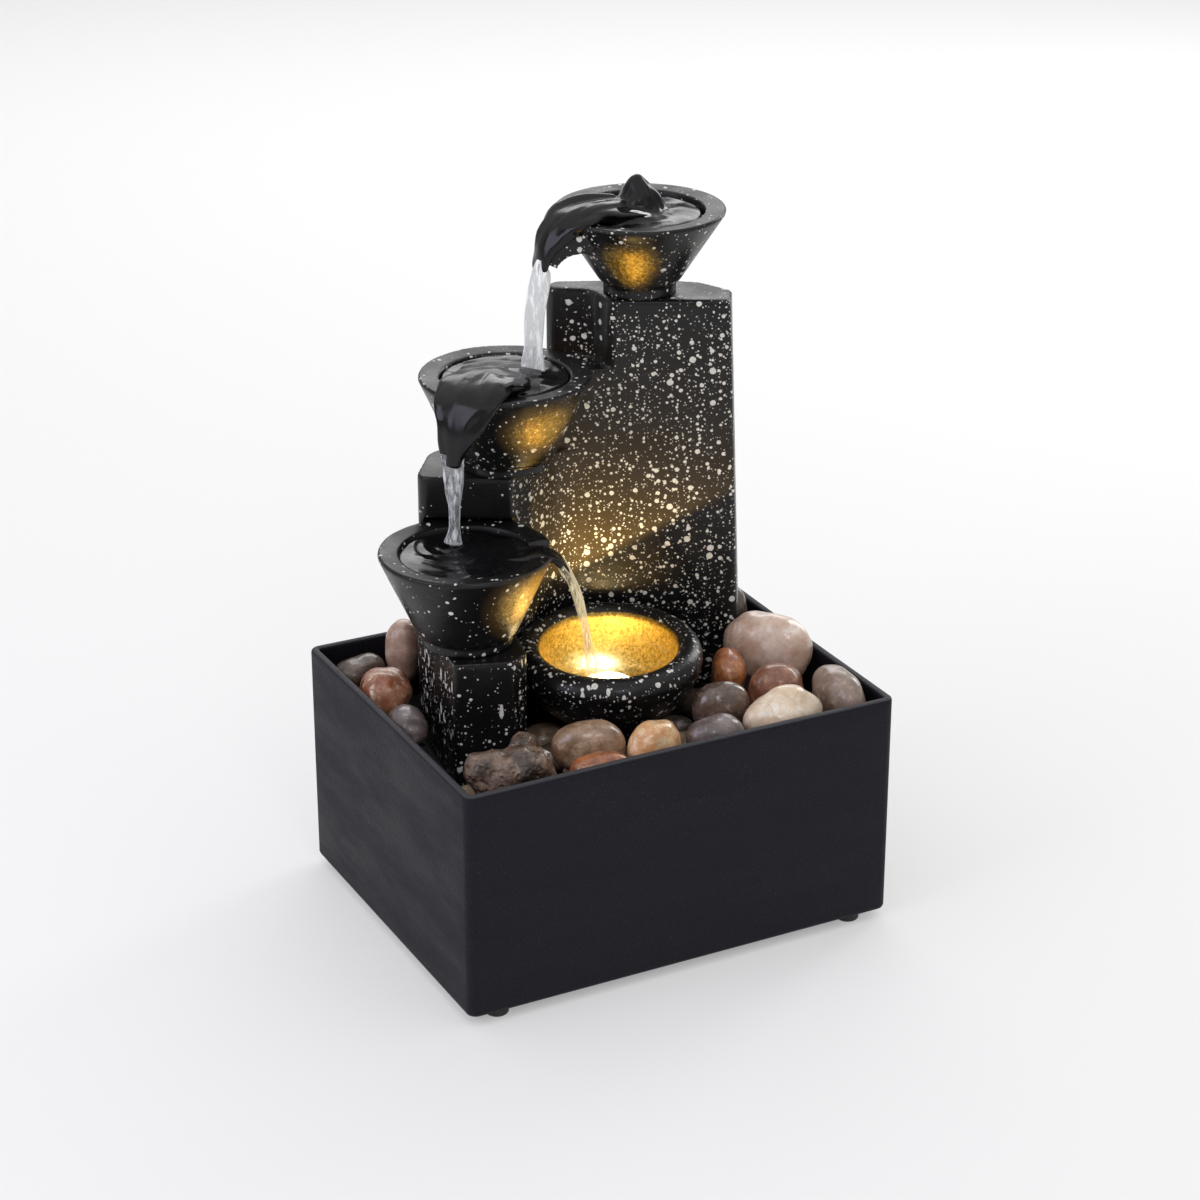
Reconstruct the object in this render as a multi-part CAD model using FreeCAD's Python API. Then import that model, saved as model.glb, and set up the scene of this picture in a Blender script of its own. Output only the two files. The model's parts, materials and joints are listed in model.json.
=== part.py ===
import FreeCAD, Part
import math
import os
from FreeCAD import Matrix, Vector

# Tabletop water fountain: a plastic basin with a pebble tray, a stepped cast-resin
# tower with four bowls, a submersible pump under the tray and a lit lowest bowl.
# Millimetres, +Z up. The origin is the middle of the footprint, on the table top.
# X runs along the basin's long front wall, Y towards its back wall.

os.makedirs("parts", exist_ok=True)

# ---- basin, feet and tray -------------------------------------------------------
BASIN_L = 180.0            # outside, along X
BASIN_W = 146.0            # outside, along Y
BASIN_H = 91.0             # outside height of the walls
WALL = 3.2
FLOOR_T = 3.0
CORNER_R = 4.0             # outside vertical corners
FOOT_R = 4.5
FOOT_H = 4.0
FOOT_INSET_X = 14.0        # foot axis in from the side walls
FOOT_INSET_Y = 7.0         # foot axis in from the front and back walls
FOOT_STUD_R = 2.0          # stud that plugs the foot into the floor
TRAY_TOP = 66.0            # height of the tray's upper face, which the tower stands on
TRAY_T = 3.0
TRAY_GAP = 0.8             # tray edge to basin wall
LEG_R = 5.0
LEG_WALL = 1.6
LEG_INSET = 12.0
SLOT_L = 13.0
SLOT_W = 3.0
SLOT_STEP_X = 17.0
SLOT_STEP_Y = 9.0
CORD_NOTCH_R = 5.0         # way out for the pump's supply cord, back right corner

# ---- tower, in its own frame: u to the right along its lit face, v to the back ----
TOWER_TURN = -27.5         # the tower's frame, turned about Z from the basin's
COLUMN_H = 166.0           # the three steps' heights above the tray
STEP_H = 106.0
POST_H = 51.0
PEDESTAL_H = 11.0          # the low seat of the lit bowl
SHOULDER_DROP = 4.0        # top of the block behind the second bowl, under its rim
FACE_V = 40.0              # the flat lit face
COLUMN_RIGHT_TOP = 51.0
COLUMN_RIGHT_FOOT = 57.0   # the column leans in a little towards the top
COLUMN_BACK = 67.0
SOCKET_DEPTH = 5.0         # glue sockets for the bowls' spigots
SPIGOT_R = 8.0
GLUE_GAP = 0.08
CORE_WALL = 6.0            # resin left around the hollow core
CORE_LEFT = -6.0           # left side of the core, as u, up to the shoulder's top
CORE_CORNER = 13.0         # core in from the column's right side, clear of its cut back corner
CORE_TUBE_GAP = 1.0        # riser tube to the core's side, over the shoulder
PEG_R = 3.0                # pegs under the tower that drop into the tray
PEG_FIT = 0.3
LEAD_GROOVE_H = 8.5        # groove for the light's lead, under the bridge

# ---- bowls; the tops of the first three are alike -----------------------------------
BOWL_R = 33.0
BOWL_RIM_W = 9.0
BOWL_DISH = 15.0           # depth of the hollow
NECK_DROP = 4.0            # the plain foot ring between a cone and what it stands on
BOWL_1_AT = (16.4, 53.6)   # bowl axes, as u and v
BOWL_2_AT = (-34.8, 24.3)
BOWL_3_AT = (-48.9, -18.0)
BOWL_4_AT = (4.5, 3.0)
BOWL_1_H = 33.0            # rim above what the bowl stands on
BOWL_2_H = 36.5
BOWL_3_H = 37.0
BOWL_4_R = 36.5
BOWL_4_INNER_R = 26.5
BOWL_4_H = 28.0
BOWL_4_DISH = 20.0
CONE_R = 19.5              # foot of the cone of the second and third bowls
TOP_CONE_R = 16.0          # and of the top one, which stands on the narrow column
NEST_GAP = 0.4             # room around a bowl that is let into the tower
SPOUT_1_ANGLE = 208.0      # spout directions, in the tower's frame
SPOUT_2_ANGLE = 240.0
SPOUT_3_ANGLE = 4.0
SPOUT_R = 9.0
SPOUT_CUT = 4.0            # how deep a spout cuts into its rim
TONGUE_REACH = 8.0         # the top bowl's pouring lip, past its rim
TONGUE_DROP = 16.0

# ---- riser tube -------------------------------------------------------------------
TUBE_WALL = 1.45
TUBE_FIT = 0.3
GROMMET_WALL = 1.2

# ---- pump, square to the basin; its outlet is under the top bowl --------------------
CUP_H = 3.0
CUP_R = 5.0
CUP_NECK_R = 2.6
CUP_STEM_R = 2.0           # stem that grips in the pump's underside
CUP_STEM_H = 1.6
PUMP_L = 38.0
PUMP_W = 30.0
PUMP_H = 30.0
PUMP_EDGE_R = 2.0
PUMP_WALL = 2.4
CHAMBER_R = 11.0
CHAMBER_L = 9.0
WELL_R = 6.6
WELL_WALL = 1.4
ROTOR_GAP = 0.6            # magnet to the wall of its well
ROTOR_L = 21.0
IMPELLER_GAP = 1.0         # impeller to the wall of its chamber
IMPELLER_END_GAPS = 2.0    # both ends together
BLADES = 6
BLADE_T = 1.2
SHAFT_R = 1.2
BUSH_R = 2.6
BUSH_L = 3.0
RUN_FIT = 0.05             # radial clearance of running fits
COVER_T = 4.0
COVER_INSET = 0.4          # the cover's edges, in from the housing's
COVER_SLOTS = 5
SLIDER_T = 2.0
SLIDER_L = 16.0
SLIDER_H = 8.0
SLIDER_Z = -11.4           # the slider's lower edge, from the rotor's axis
RAIL_T = 1.6
SLIDER_TRAVEL = 8.0
NOZZLE_R = 4.0
NOZZLE_WALL = 1.2
NOZZLE_BASE_RIM = 2.5      # base flange past the stem
NOZZLE_LAND = 0.5          # wall between the nozzle's seat and the pump's front face
NOZZLE_BASE_H = 4.0
NOZZLE_H = 18.0
BACK_PLATE_T = 2.5
GLAND_R = 3.6
GLAND_NECK_R = 2.7
GLAND_BORE_R = 1.8
GLAND_L = 7.0

# ---- light ------------------------------------------------------------------------
LED_R = 9.0
LED_FLANGE_W = 2.0
LED_FLANGE_T = 1.6
LED_BODY_H = 7.0
LED_WALL = 1.6
LED_LENS_H = 4.5
SEAL_T = 0.8
LEAD_R = 1.2
LEAD_GLAND_R = 2.6
LEAD_NECK_R = 1.8          # the gland's waist, in the hole in the light's floor
PLUG_R = 3.0
PIN_R = 1.5
SOCKET_H = 9.0
PIN_L = 6.0

# ---- pebbles ------------------------------------------------------------------------
FILL_H = 11.6              # the flat bottom layer
LAYER_Z = TRAY_TOP + 12.0  # the shown layer rests above it
# Where a pebble lies by a wall its x or y is that far in from the wall's inner face, and
# its side says which: L, R, F or B for left, right, front or back; "" from the middle.
# name, side, x, y, length, width, height, turn about Z, raised above its layer
PEBBLES = [
    ("rough_rock", "LF", 22.8, 14.8, 38, 21, 24, -20, 0),
    ("rough_chip", "", -49, -37, 14, 12, 18, 30, 0),
    ("tan_polished", "", -26, -44, 28, 16, 21, -22, 0),
    ("orange", "F", -31, 7.8, 24, 12, 17, -8, 0),
    ("cream", "F", -5, 14.8, 24, 15, 21, 14, 0),
    ("mauve", "F", 19, 9.8, 23, 16, 20, -4, 0),
    ("white_oblong", "F", 49, 11.8, 34, 21, 25, 0, 0),
    ("corner_grey", "RF", 9.8, 16.8, 29, 17, 24, 88, 0),
    ("shiny_brown", "", 33, -39, 23, 14, 22, -14, 0),
    ("orange_brown", "", 50, -14, 19, 14, 21, 66, 0),
    ("red_brown", "R", 26.8, -34, 23, 17, 21, -18, 0),
    ("large_white", "R", 15.8, -9, 36, 21, 27, -48, 3),
    ("back_dark", "R", 7.8, 37, 22, 13, 25, 95, 0),
    ("left_red", "L", 12.8, 34, 25, 21, 20, 70, 0),
    ("left_flat", "LB", 12.8, 10.8, 23, 17, 15, 10, 0),
    ("left_tan", "B", -55, 10.8, 16, 15, 27, 40, 0),
    ("rear_grey", "RB", 11.8, 10.8, 19, 17, 20, 60, 0),
    ("rear_tan", "B", 50, 8.8, 24, 13, 20, 4, 0),
    ("front_small", "", 6, -42, 15, 8, 13, 4, 0),
    ("left_small", "L", 10.8, 10, 22, 15, 14, 84, 0),
]

# ---- worked out from the above ------------------------------------------------------
FLOOR_Z = FOOT_H + FLOOR_T
INNER_X = BASIN_L / 2 - WALL
INNER_Y = BASIN_W / 2 - WALL
TURN = math.radians(TOWER_TURN)
PUMP_BOTTOM = FLOOR_Z + CUP_H
PUMP_TOP = PUMP_BOTTOM + PUMP_H
COLUMN_TOP = TRAY_TOP + COLUMN_H
STEP_TOP = TRAY_TOP + STEP_H
POST_TOP = TRAY_TOP + POST_H
BOWL_4_BASE = TRAY_TOP + PEDESTAL_H
BOWL_1 = BOWL_1_AT + (COLUMN_TOP + BOWL_1_H,)     # u, v and rim height
BOWL_2 = BOWL_2_AT + (STEP_TOP + BOWL_2_H,)
BOWL_3 = BOWL_3_AT + (POST_TOP + BOWL_3_H,)
BOWL_4 = BOWL_4_AT + (BOWL_4_BASE + BOWL_4_H,)
TUBE_BORE_R = NOZZLE_R + RUN_FIT
TUBE_R = TUBE_BORE_R + TUBE_WALL
NOZZLE_BORE_R = NOZZLE_R - NOZZLE_WALL
NOZZLE_BASE_R = NOZZLE_R + NOZZLE_BASE_RIM
IMPELLER_R = CHAMBER_R - IMPELLER_GAP
IMPELLER_L = CHAMBER_L - IMPELLER_END_GAPS
ROTOR_R = WELL_R - ROTOR_GAP
LED_FLANGE_R = LED_R + LED_FLANGE_W


def to_basin(u, v):
    """A point of the tower's frame, in the basin's."""
    return (u * math.cos(TURN) - v * math.sin(TURN), u * math.sin(TURN) + v * math.cos(TURN))


OUTLET_X, OUTLET_Y = to_basin(BOWL_1[0], BOWL_1[1])
LEAD_V = BOWL_1[1]                     # the lead goes down beside the riser tube
PLUG_X, PLUG_Y = to_basin(BOWL_4[0], LEAD_V)
PUMP_FRONT = OUTLET_X + NOZZLE_R + NOZZLE_LAND    # the face that the intake cover closes
PUMP_BACK = PUMP_FRONT - PUMP_L
ROTOR_Z = PUMP_BOTTOM + PUMP_H / 2
SHOULDER_TOP = BOWL_2[2] - SHOULDER_DROP
CORE_BOX = (CORE_LEFT, FACE_V + CORE_WALL, COLUMN_RIGHT_TOP - CORE_CORNER - CORE_LEFT,
            COLUMN_BACK - FACE_V - 2 * CORE_WALL)
CORE_NECK_U = BOWL_1_AT[0] - TUBE_R - CORE_TUBE_GAP    # left side of the core over the shoulder


# ---- helpers ------------------------------------------------------------------------
def save(name, shape):
    shape.exportStep("parts/" + name + ".step")


def turned(shape):
    """A shape made in the tower's frame, put in the basin's."""
    placed = shape.copy()
    placed.rotate(Vector(0, 0, 0), Vector(0, 0, 1), TOWER_TURN)
    return placed


def box(x, y, z, dx, dy, dz):
    return Part.makeBox(dx, dy, dz, Vector(x, y, z))


def cyl(radius, height, x, y, z, axis=Vector(0, 0, 1)):
    return Part.makeCylinder(radius, height, Vector(x, y, z), axis)


def ring(outer, inner, height, x, y, z, axis=Vector(0, 0, 1)):
    return cyl(outer, height, x, y, z, axis).cut(cyl(inner, height, x, y, z, axis))


def join(shapes):
    result = shapes[0]
    for shape in shapes[1:]:
        result = result.fuse(shape)
    return result.removeSplitter()


def cut_all(shape, tools):
    for tool in tools:
        shape = shape.cut(tool)
    return shape


def rounded_outline(corners):
    """A closed wire through (x, y, radius) corners, each rounded by its own radius."""
    starts, ends, mids = [], [], []
    count = len(corners)
    for i, (x, y, radius) in enumerate(corners):
        here = Vector(x, y, 0)
        back = (Vector(*corners[i - 1][:2], 0) - here).normalize()
        ahead = (Vector(*corners[(i + 1) % count][:2], 0) - here).normalize()
        half = back.getAngle(ahead) / 2
        reach = radius / math.tan(half)
        middle = (back + ahead).normalize()
        starts.append(here + back * reach)
        ends.append(here + ahead * reach)
        mids.append(here + middle * (radius / math.sin(half) - radius))
    edges = []
    for i in range(count):
        edges.append(Part.Arc(starts[i], mids[i], ends[i]).toShape())
        edges.append(Part.LineSegment(ends[i], starts[(i + 1) % count]).toShape())
    return Part.Wire(edges)


def prism(corners, z, height):
    wire = rounded_outline(corners)
    wire.translate(Vector(0, 0, z))
    return Part.Face(wire).extrude(Vector(0, 0, height))


def tapered(corners_low, corners_high, z_low, z_high):
    low = rounded_outline(corners_low)
    low.translate(Vector(0, 0, z_low))
    high = rounded_outline(corners_high)
    high.translate(Vector(0, 0, z_high))
    return Part.makeLoft([low, high], True, True)


def revolved(edges, x, y):
    """A closed profile in the (radius, height) plane, turned about a vertical axis."""
    face = Part.Face(Part.Wire(edges))
    solid = face.revolve(Vector(0, 0, 0), Vector(0, 0, 1), 360)
    solid.translate(Vector(x, y, 0))
    return solid


def line(a, b):
    return Part.LineSegment(Vector(a[0], 0, a[1]), Vector(b[0], 0, b[1])).toShape()


def arc(a, through, b):
    points = [Vector(p[0], 0, p[1]) for p in (a, through, b)]
    return Part.Arc(*points).toShape()


# ---- basin group --------------------------------------------------------------------
def rectangle(length, width, radius):
    x, y = length / 2, width / 2
    return [(-x, -y, radius), (x, -y, radius), (x, y, radius), (-x, y, radius)]


def foot_places():
    x = BASIN_L / 2 - FOOT_INSET_X
    y = BASIN_W / 2 - FOOT_INSET_Y
    return [(-x, -y), (x, -y), (x, y), (-x, y)]


def make_basin():
    outside = prism(rectangle(BASIN_L, BASIN_W, CORNER_R), FOOT_H, BASIN_H)
    inside = prism(rectangle(2 * INNER_X, 2 * INNER_Y, CORNER_R - 2), FLOOR_Z, BASIN_H)
    bottom = [e for e in outside.Edges if e.BoundBox.ZMax < FOOT_H + 0.01]
    basin = outside.makeFillet(1.2, bottom).cut(inside)
    studs = [cyl(FOOT_STUD_R, FLOOR_T, x, y, FOOT_H) for x, y in foot_places()]
    return cut_all(basin, studs)


def make_feet():
    feet = []
    for x, y in foot_places():
        pad = cyl(FOOT_R, FOOT_H, x, y, 0)
        pad = pad.makeFillet(1.0, [e for e in pad.Edges if e.BoundBox.ZMax < 0.01])
        feet.append(pad.fuse(cyl(FOOT_STUD_R, FLOOR_T, x, y, FOOT_H)).removeSplitter())
    return Part.makeCompound(feet)


def leg_places():
    x = INNER_X - LEG_INSET
    y = INNER_Y - LEG_INSET
    return [(-x, -y), (x, -y), (x, y), (-x, y), (0, -y), (-x / 3, y)]


def peg_places():
    """Locating pegs under the tower, in its own frame."""
    return [(-58.0, 22.0), (-42.0, -24.0)]


def make_tray():
    length = 2 * (INNER_X - TRAY_GAP)
    width = 2 * (INNER_Y - TRAY_GAP)
    tray = prism(rectangle(length, width, CORNER_R - 2), TRAY_TOP - TRAY_T, TRAY_T)
    legs = leg_places()
    leg_h = TRAY_TOP - TRAY_T / 2 - FLOOR_Z
    tray = join([tray] + [cyl(LEG_R, leg_h, x, y, FLOOR_Z) for x, y in legs])
    bores = [cyl(LEG_R - LEG_WALL, leg_h - TRAY_T, x, y, FLOOR_Z) for x, y in legs]
    slots = []
    columns = int((length / 2 - SLOT_L) // SLOT_STEP_X)
    rows = int((width / 2 - SLOT_STEP_Y) // SLOT_STEP_Y)
    for i in range(-columns, columns + 1):
        for j in range(-rows, rows + 1):
            x, y = i * SLOT_STEP_X, j * SLOT_STEP_Y
            near_leg = any(math.hypot(x - lx, y - ly) < LEG_R + SLOT_L / 2 for lx, ly in legs)
            if not near_leg and not under_tower(x, y, SLOT_L / 2):
                slots.append(box(x - SLOT_L / 2, y - SLOT_W / 2, TRAY_TOP - TRAY_T,
                                 SLOT_L, SLOT_W, TRAY_T))
    u, v, du, dv = CORE_BOX
    hatch = turned(box(u, v, TRAY_TOP - TRAY_T, du, dv, TRAY_T))
    pegs = [turned(cyl(PEG_R + PEG_FIT, TRAY_T, pu, pv, TRAY_TOP - TRAY_T))
            for pu, pv in peg_places()]
    notch = cyl(CORD_NOTCH_R, TRAY_T, length / 2, width / 2 - 2 * CORD_NOTCH_R, TRAY_TOP - TRAY_T)
    return cut_all(tray, bores + slots + [hatch, notch] + pegs)


def under_tower(x, y, margin):
    """Whether a spot of the tray is under the tower's foot."""
    spot = Vector(x, y, TRAY_TOP + 1)
    return TOWER_FOOT.distToShape(Part.Vertex(spot))[0] < margin


# ---- tower --------------------------------------------------------------------------
def column_corners(right):
    """The column's outline: the flat face, its right edge, the round back, the left ear."""
    shift = right - COLUMN_RIGHT_TOP
    return [
        (right, FACE_V, 2.0),
        (right + 1, FACE_V + 14, 3.0),
        (40 + shift, COLUMN_BACK - 3, 8.0),
        (24, COLUMN_BACK, 14.0),
        (-17, COLUMN_BACK - 2, 4.0),
        (-20, COLUMN_BACK - 8, 2.0),
        (-17, COLUMN_BACK - 12, 1.5),
        (-2, COLUMN_BACK - 14, 9.0),
        (5, FACE_V, 5.0),
    ]


STEP_CORNERS = [
    (10, FACE_V, 0.5),
    (-13, FACE_V, 16.0),
    (-32.5, 8, 1.5),
    (-69, 9, 5.0),
    (-65, 36, 12.0),
    (-43, 53, 14.0),
    (-16, COLUMN_BACK - 2, 4.0),
    (10, COLUMN_BACK - 2, 0.5),
]

SHOULDER_CORNERS = [
    (10, FACE_V, 0.5),
    (-19, FACE_V, 1.0),
    (-19, COLUMN_BACK - 10, 1.0),
    (-9, COLUMN_BACK - 5, 1.0),
    (10, COLUMN_BACK - 5, 0.5),
]

POST_CORNERS = [
    (-53, -41, 1.2),
    (-31, -38, 2.5),
    (-26, -30, 3.0),
    (-33, -3, 12.0),
    (-33, 20, 0.5),
    (-66, 20, 0.5),
    (-69.3, 6, 4.0),
]


def make_outer_tower():
    column = tapered(column_corners(COLUMN_RIGHT_FOOT), column_corners(COLUMN_RIGHT_TOP),
                     TRAY_TOP, COLUMN_TOP)
    step = prism(STEP_CORNERS, TRAY_TOP, STEP_TOP - TRAY_TOP)
    post = prism(POST_CORNERS, TRAY_TOP, POST_TOP - TRAY_TOP)
    shoulder = prism(SHOULDER_CORNERS, TRAY_TOP, SHOULDER_TOP - TRAY_TOP)
    u, v, _ = BOWL_4
    pedestal = cyl(14.0, BOWL_4_BASE - TRAY_TOP, u, v, TRAY_TOP)
    bridge = box(u - 9, v, TRAY_TOP, 18, FACE_V + 2 - v, BOWL_4_BASE - TRAY_TOP)
    return join([column, step, shoulder, post, pedestal, bridge])


def make_tower(outer):
    u4, v4, _ = BOWL_4
    bowl_room = [
        cyl(SPIGOT_R + GLUE_GAP, SOCKET_DEPTH, BOWL_2[0], BOWL_2[1], STEP_TOP - SOCKET_DEPTH),
        cyl(SPIGOT_R + GLUE_GAP, SOCKET_DEPTH, BOWL_3[0], BOWL_3[1], POST_TOP - SOCKET_DEPTH),
    ]
    u, v, du, dv = CORE_BOX
    column_core = box(u, v, TRAY_TOP, du, dv, SHOULDER_TOP - CORE_WALL - TRAY_TOP)
    core_neck = box(CORE_NECK_U, v, TRAY_TOP, u + du - CORE_NECK_U, dv,
                    COLUMN_TOP - CORE_WALL - TRAY_TOP)
    outline = Part.Face(Part.makePolygon([Vector(x, y, TRAY_TOP) for x, y, _ in STEP_CORNERS]
                                         + [Vector(*STEP_CORNERS[0][:2], TRAY_TOP)]))
    step_core = outline.makeOffset2D(-CORE_WALL).extrude(
        Vector(0, 0, STEP_TOP - SOCKET_DEPTH - CORE_WALL - TRAY_TOP))
    step_core = step_core.cut(cyl(BOWL_R + CORE_WALL, STEP_TOP, BOWL_3[0], BOWL_3[1], 0))
    tube_hole = cyl(TUBE_R + TUBE_FIT, CORE_WALL, BOWL_1[0], BOWL_1[1], COLUMN_TOP - CORE_WALL)
    lead_bore = cyl(4.5, BOWL_4_BASE - TRAY_TOP, u4, v4, TRAY_TOP)
    groove = box(u4 - 2.5, v4, TRAY_TOP, 5, v + 1 - v4, LEAD_GROOVE_H)
    nests = [bowl_nest(BOWL_2, STEP_TOP), bowl_nest(BOWL_3, POST_TOP), bowl_nest_4()]
    tower = cut_all(outer, bowl_room + nests + [column_core, core_neck, step_core,
                                                tube_hole, lead_bore, groove])
    pegs = [cyl(PEG_R, TRAY_T, pu, pv, TRAY_TOP - TRAY_T) for pu, pv in peg_places()]
    return join([tower] + pegs)


def bowl_nest(place, stand_z):
    """Room in the wall behind a bowl, for the bowl's back."""
    u, v, rim = place
    low = stand_z + NECK_DROP
    high = rim - 2.0
    base = CONE_R + NEST_GAP
    cone = Part.makeCone(base, BOWL_R + NEST_GAP, high - low, Vector(u, v, low))
    return join([cone, cyl(BOWL_R + NEST_GAP, rim + 1.0 - high, u, v, high),
                 cyl(base, NECK_DROP, u, v, stand_z)])


def bowl_nest_4():
    """Room beside the lit bowl, where the walls curve round it."""
    u, v, rim = BOWL_4
    return cyl(BOWL_4_R + NEST_GAP, rim - BOWL_4_BASE + 1.0, u, v, BOWL_4_BASE)


def cone_bowl(place, stand_z, base_r, spigot_r, bore_r):
    """A conical bowl with a broad flat rim, its foot ring and what plugs it in below."""
    u, v, rim = place
    inner = BOWL_R - BOWL_RIM_W
    floor = rim - BOWL_DISH
    foot = base_r - 2.0
    plug_z = stand_z - SOCKET_DEPTH
    outside = [(foot, stand_z), (foot, stand_z + NECK_DROP), (base_r, stand_z + NECK_DROP + 1.5),
               (BOWL_R, rim - 1.2), (BOWL_R - 0.6, rim), (inner + 1.0, rim - 0.8)]
    if spigot_r:
        outside = [(0, plug_z), (spigot_r, plug_z), (spigot_r, stand_z)] + outside
        last = [(0, floor)]
    else:
        outside = [(bore_r, stand_z)] + outside
        last = [(bore_r, floor)]
    edges = [line(a, b) for a, b in zip(outside, outside[1:])]
    lip = outside[-1]
    dish_end = (max(bore_r, 5.0) + 2.0, floor)
    edges.append(arc(lip, (inner * 0.80, floor + BOWL_DISH * 0.26), dish_end))
    edges.append(line(dish_end, last[0]))
    edges.append(line(last[0], outside[0]))
    return revolved(edges, u, v)


def spout_cut(place, radius, angle, slope):
    """The round channel that a spout cuts through a rim, falling outwards by slope."""
    u, v, rim = place
    out = Vector(math.cos(math.radians(angle)), math.sin(math.radians(angle)), -slope)
    start = radius - 1.6 * BOWL_RIM_W
    height = rim - SPOUT_CUT + SPOUT_R + 2.0
    return cyl(SPOUT_R, 3.2 * BOWL_RIM_W, u + out.x * start, v + out.y * start,
               height - 2.0, out)


def make_tongue():
    """The top bowl's pouring lip: it reaches past the rim and curves down."""
    u, v, rim = BOWL_1
    tip = BOWL_R + TONGUE_REACH
    root = BOWL_R - 7.0
    low = rim - TONGUE_DROP
    side = [line((root, rim - 3.6), (BOWL_R, rim - 5.0)),
            arc((BOWL_R, rim - 5.0), (tip - 2.6, rim - 9.0), (tip, low)),
            line((tip, low), (tip - 2.2, low - 1.0)),
            arc((tip - 2.2, low - 1.0), (BOWL_R + 1.0, rim - 12.0), (root, rim - 13.0)),
            line((root, rim - 13.0), (root, rim - 3.6))]
    face = Part.Face(Part.Wire(side))
    face.translate(Vector(0, -12, 0))
    slab = face.extrude(Vector(0, 24, 0))
    plan = prism([(root - 1, -11, 0.5), (BOWL_R, -10.5, 3), (tip + 1, -5, 2),
                  (tip + 1, 5, 2), (BOWL_R, 10.5, 3), (root - 1, 11, 0.5)], low - 5, 30)
    tongue = slab.common(plan)
    tongue.rotate(Vector(0, 0, 0), Vector(0, 0, 1), SPOUT_1_ANGLE)
    tongue.translate(Vector(u, v, 0))
    return tongue


def make_bowl_1():
    bore = TUBE_R + GROMMET_WALL
    bowl = cone_bowl(BOWL_1, COLUMN_TOP, TOP_CONE_R, 0, bore)
    bowl = join([bowl, make_tongue()])
    return bowl.cut(spout_cut(BOWL_1, BOWL_R, SPOUT_1_ANGLE, 0.22))


def make_bowl_2():
    bowl = cone_bowl(BOWL_2, STEP_TOP, CONE_R, SPIGOT_R, 0)
    return bowl.cut(spout_cut(BOWL_2, BOWL_R, SPOUT_2_ANGLE, 0.1))


def make_bowl_3():
    bowl = cone_bowl(BOWL_3, POST_TOP, CONE_R, SPIGOT_R, 0)
    return bowl.cut(spout_cut(BOWL_3, BOWL_R, SPOUT_3_ANGLE, 0.1))


def make_bowl_4():
    u, v, rim = BOWL_4
    base = BOWL_4_BASE
    outer, inner = BOWL_4_R, BOWL_4_INNER_R
    floor = rim - BOWL_4_DISH
    bore = LED_R + GLUE_GAP
    side = (outer, rim - 7.0)
    crown = (outer - 5.5, rim)
    lip = (inner, rim - 3.0)
    dish = (LED_FLANGE_R + 1.5, floor)
    edges = [line((bore, base), (15.0, base)),
             arc((15.0, base), (outer - 6.5, rim - 19.5), side),
             arc(side, (outer - 1.3, rim - 2.2), crown),
             arc(crown, (inner + 1.8, rim - 0.7), lip),
             arc(lip, (inner - 4.8, floor + 5.0), dish),
             line(dish, (bore, floor)),
             line((bore, floor), (bore, base))]
    return revolved(edges, u, v)


# ---- riser --------------------------------------------------------------------------
def make_riser_tube():
    bottom = PUMP_TOP + NOZZLE_BASE_H + 1.0
    top = BOWL_1[2] - BOWL_DISH + 1.5
    return ring(TUBE_R, TUBE_BORE_R, top - bottom, BOWL_1[0], BOWL_1[1], bottom)


def make_tube_grommet():
    height = BOWL_1[2] - BOWL_DISH - COLUMN_TOP
    return ring(TUBE_R + GROMMET_WALL, TUBE_R, height, BOWL_1[0], BOWL_1[1], COLUMN_TOP)


# ---- light --------------------------------------------------------------------------
LED_FLOOR = BOWL_4[2] - BOWL_4_DISH      # the bowl's floor, which the flange sits on
LED_BOTTOM = LED_FLOOR - LED_BODY_H
LED_TOP = LED_FLOOR + SEAL_T + LED_FLANGE_T
BOARD_Z = LED_BOTTOM + LED_WALL + 2.5
BOARD_T = 1.2


def make_led_housing():
    u, v = BOWL_4[:2]
    body = cyl(LED_R, LED_TOP - LED_BOTTOM, u, v, LED_BOTTOM)
    flange = cyl(LED_FLANGE_R, LED_FLANGE_T, u, v, LED_TOP - LED_FLANGE_T)
    cavity = cyl(LED_R - LED_WALL, LED_TOP - LED_BOTTOM, u, v, LED_BOTTOM + LED_WALL)
    gland_hole = cyl(LEAD_NECK_R, LED_WALL, u, v, LED_BOTTOM)
    return cut_all(join([body, flange]), [cavity, gland_hole])


def make_led_seal():
    u, v = BOWL_4[:2]
    return ring(LED_FLANGE_R, LED_R, SEAL_T, u, v, LED_FLOOR)


def make_led_board():
    u, v = BOWL_4[:2]
    board = cyl(LED_R - LED_WALL, BOARD_T, u, v, BOARD_Z)
    chips = [box(u + dx - 1.4, v + dy - 1.4, BOARD_Z + BOARD_T, 2.8, 2.8, 1.0)
             for dx, dy in ((-2.6, 0), (2.6, 0), (0, 3.4))]
    return join([board] + chips)


def make_led_lens():
    """The clear cap: a plug in the housing's mouth, a flange on its rim and a low dome."""
    u, v = BOWL_4[:2]
    plug_r = LED_R - LED_WALL
    top = LED_TOP + LED_LENS_H
    edge_r = LED_FLANGE_R - 0.6
    edge_z = LED_TOP + 1.0
    rise = top - edge_z
    dome_r = (edge_r ** 2 + rise ** 2) / (2 * rise)
    half = math.asin(edge_r / dome_r) / 2
    shoulder = (dome_r * math.sin(half), top - dome_r * (1 - math.cos(half)))
    edges = [line((0, LED_TOP - 1.5), (plug_r, LED_TOP - 1.5)),
             line((plug_r, LED_TOP - 1.5), (plug_r, LED_TOP)),
             line((plug_r, LED_TOP), (edge_r, LED_TOP)),
             line((edge_r, LED_TOP), (edge_r, edge_z)),
             arc((edge_r, edge_z), shoulder, (0, top)),
             line((0, top), (0, LED_TOP - 1.5))]
    return revolved(edges, u, v)


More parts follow.
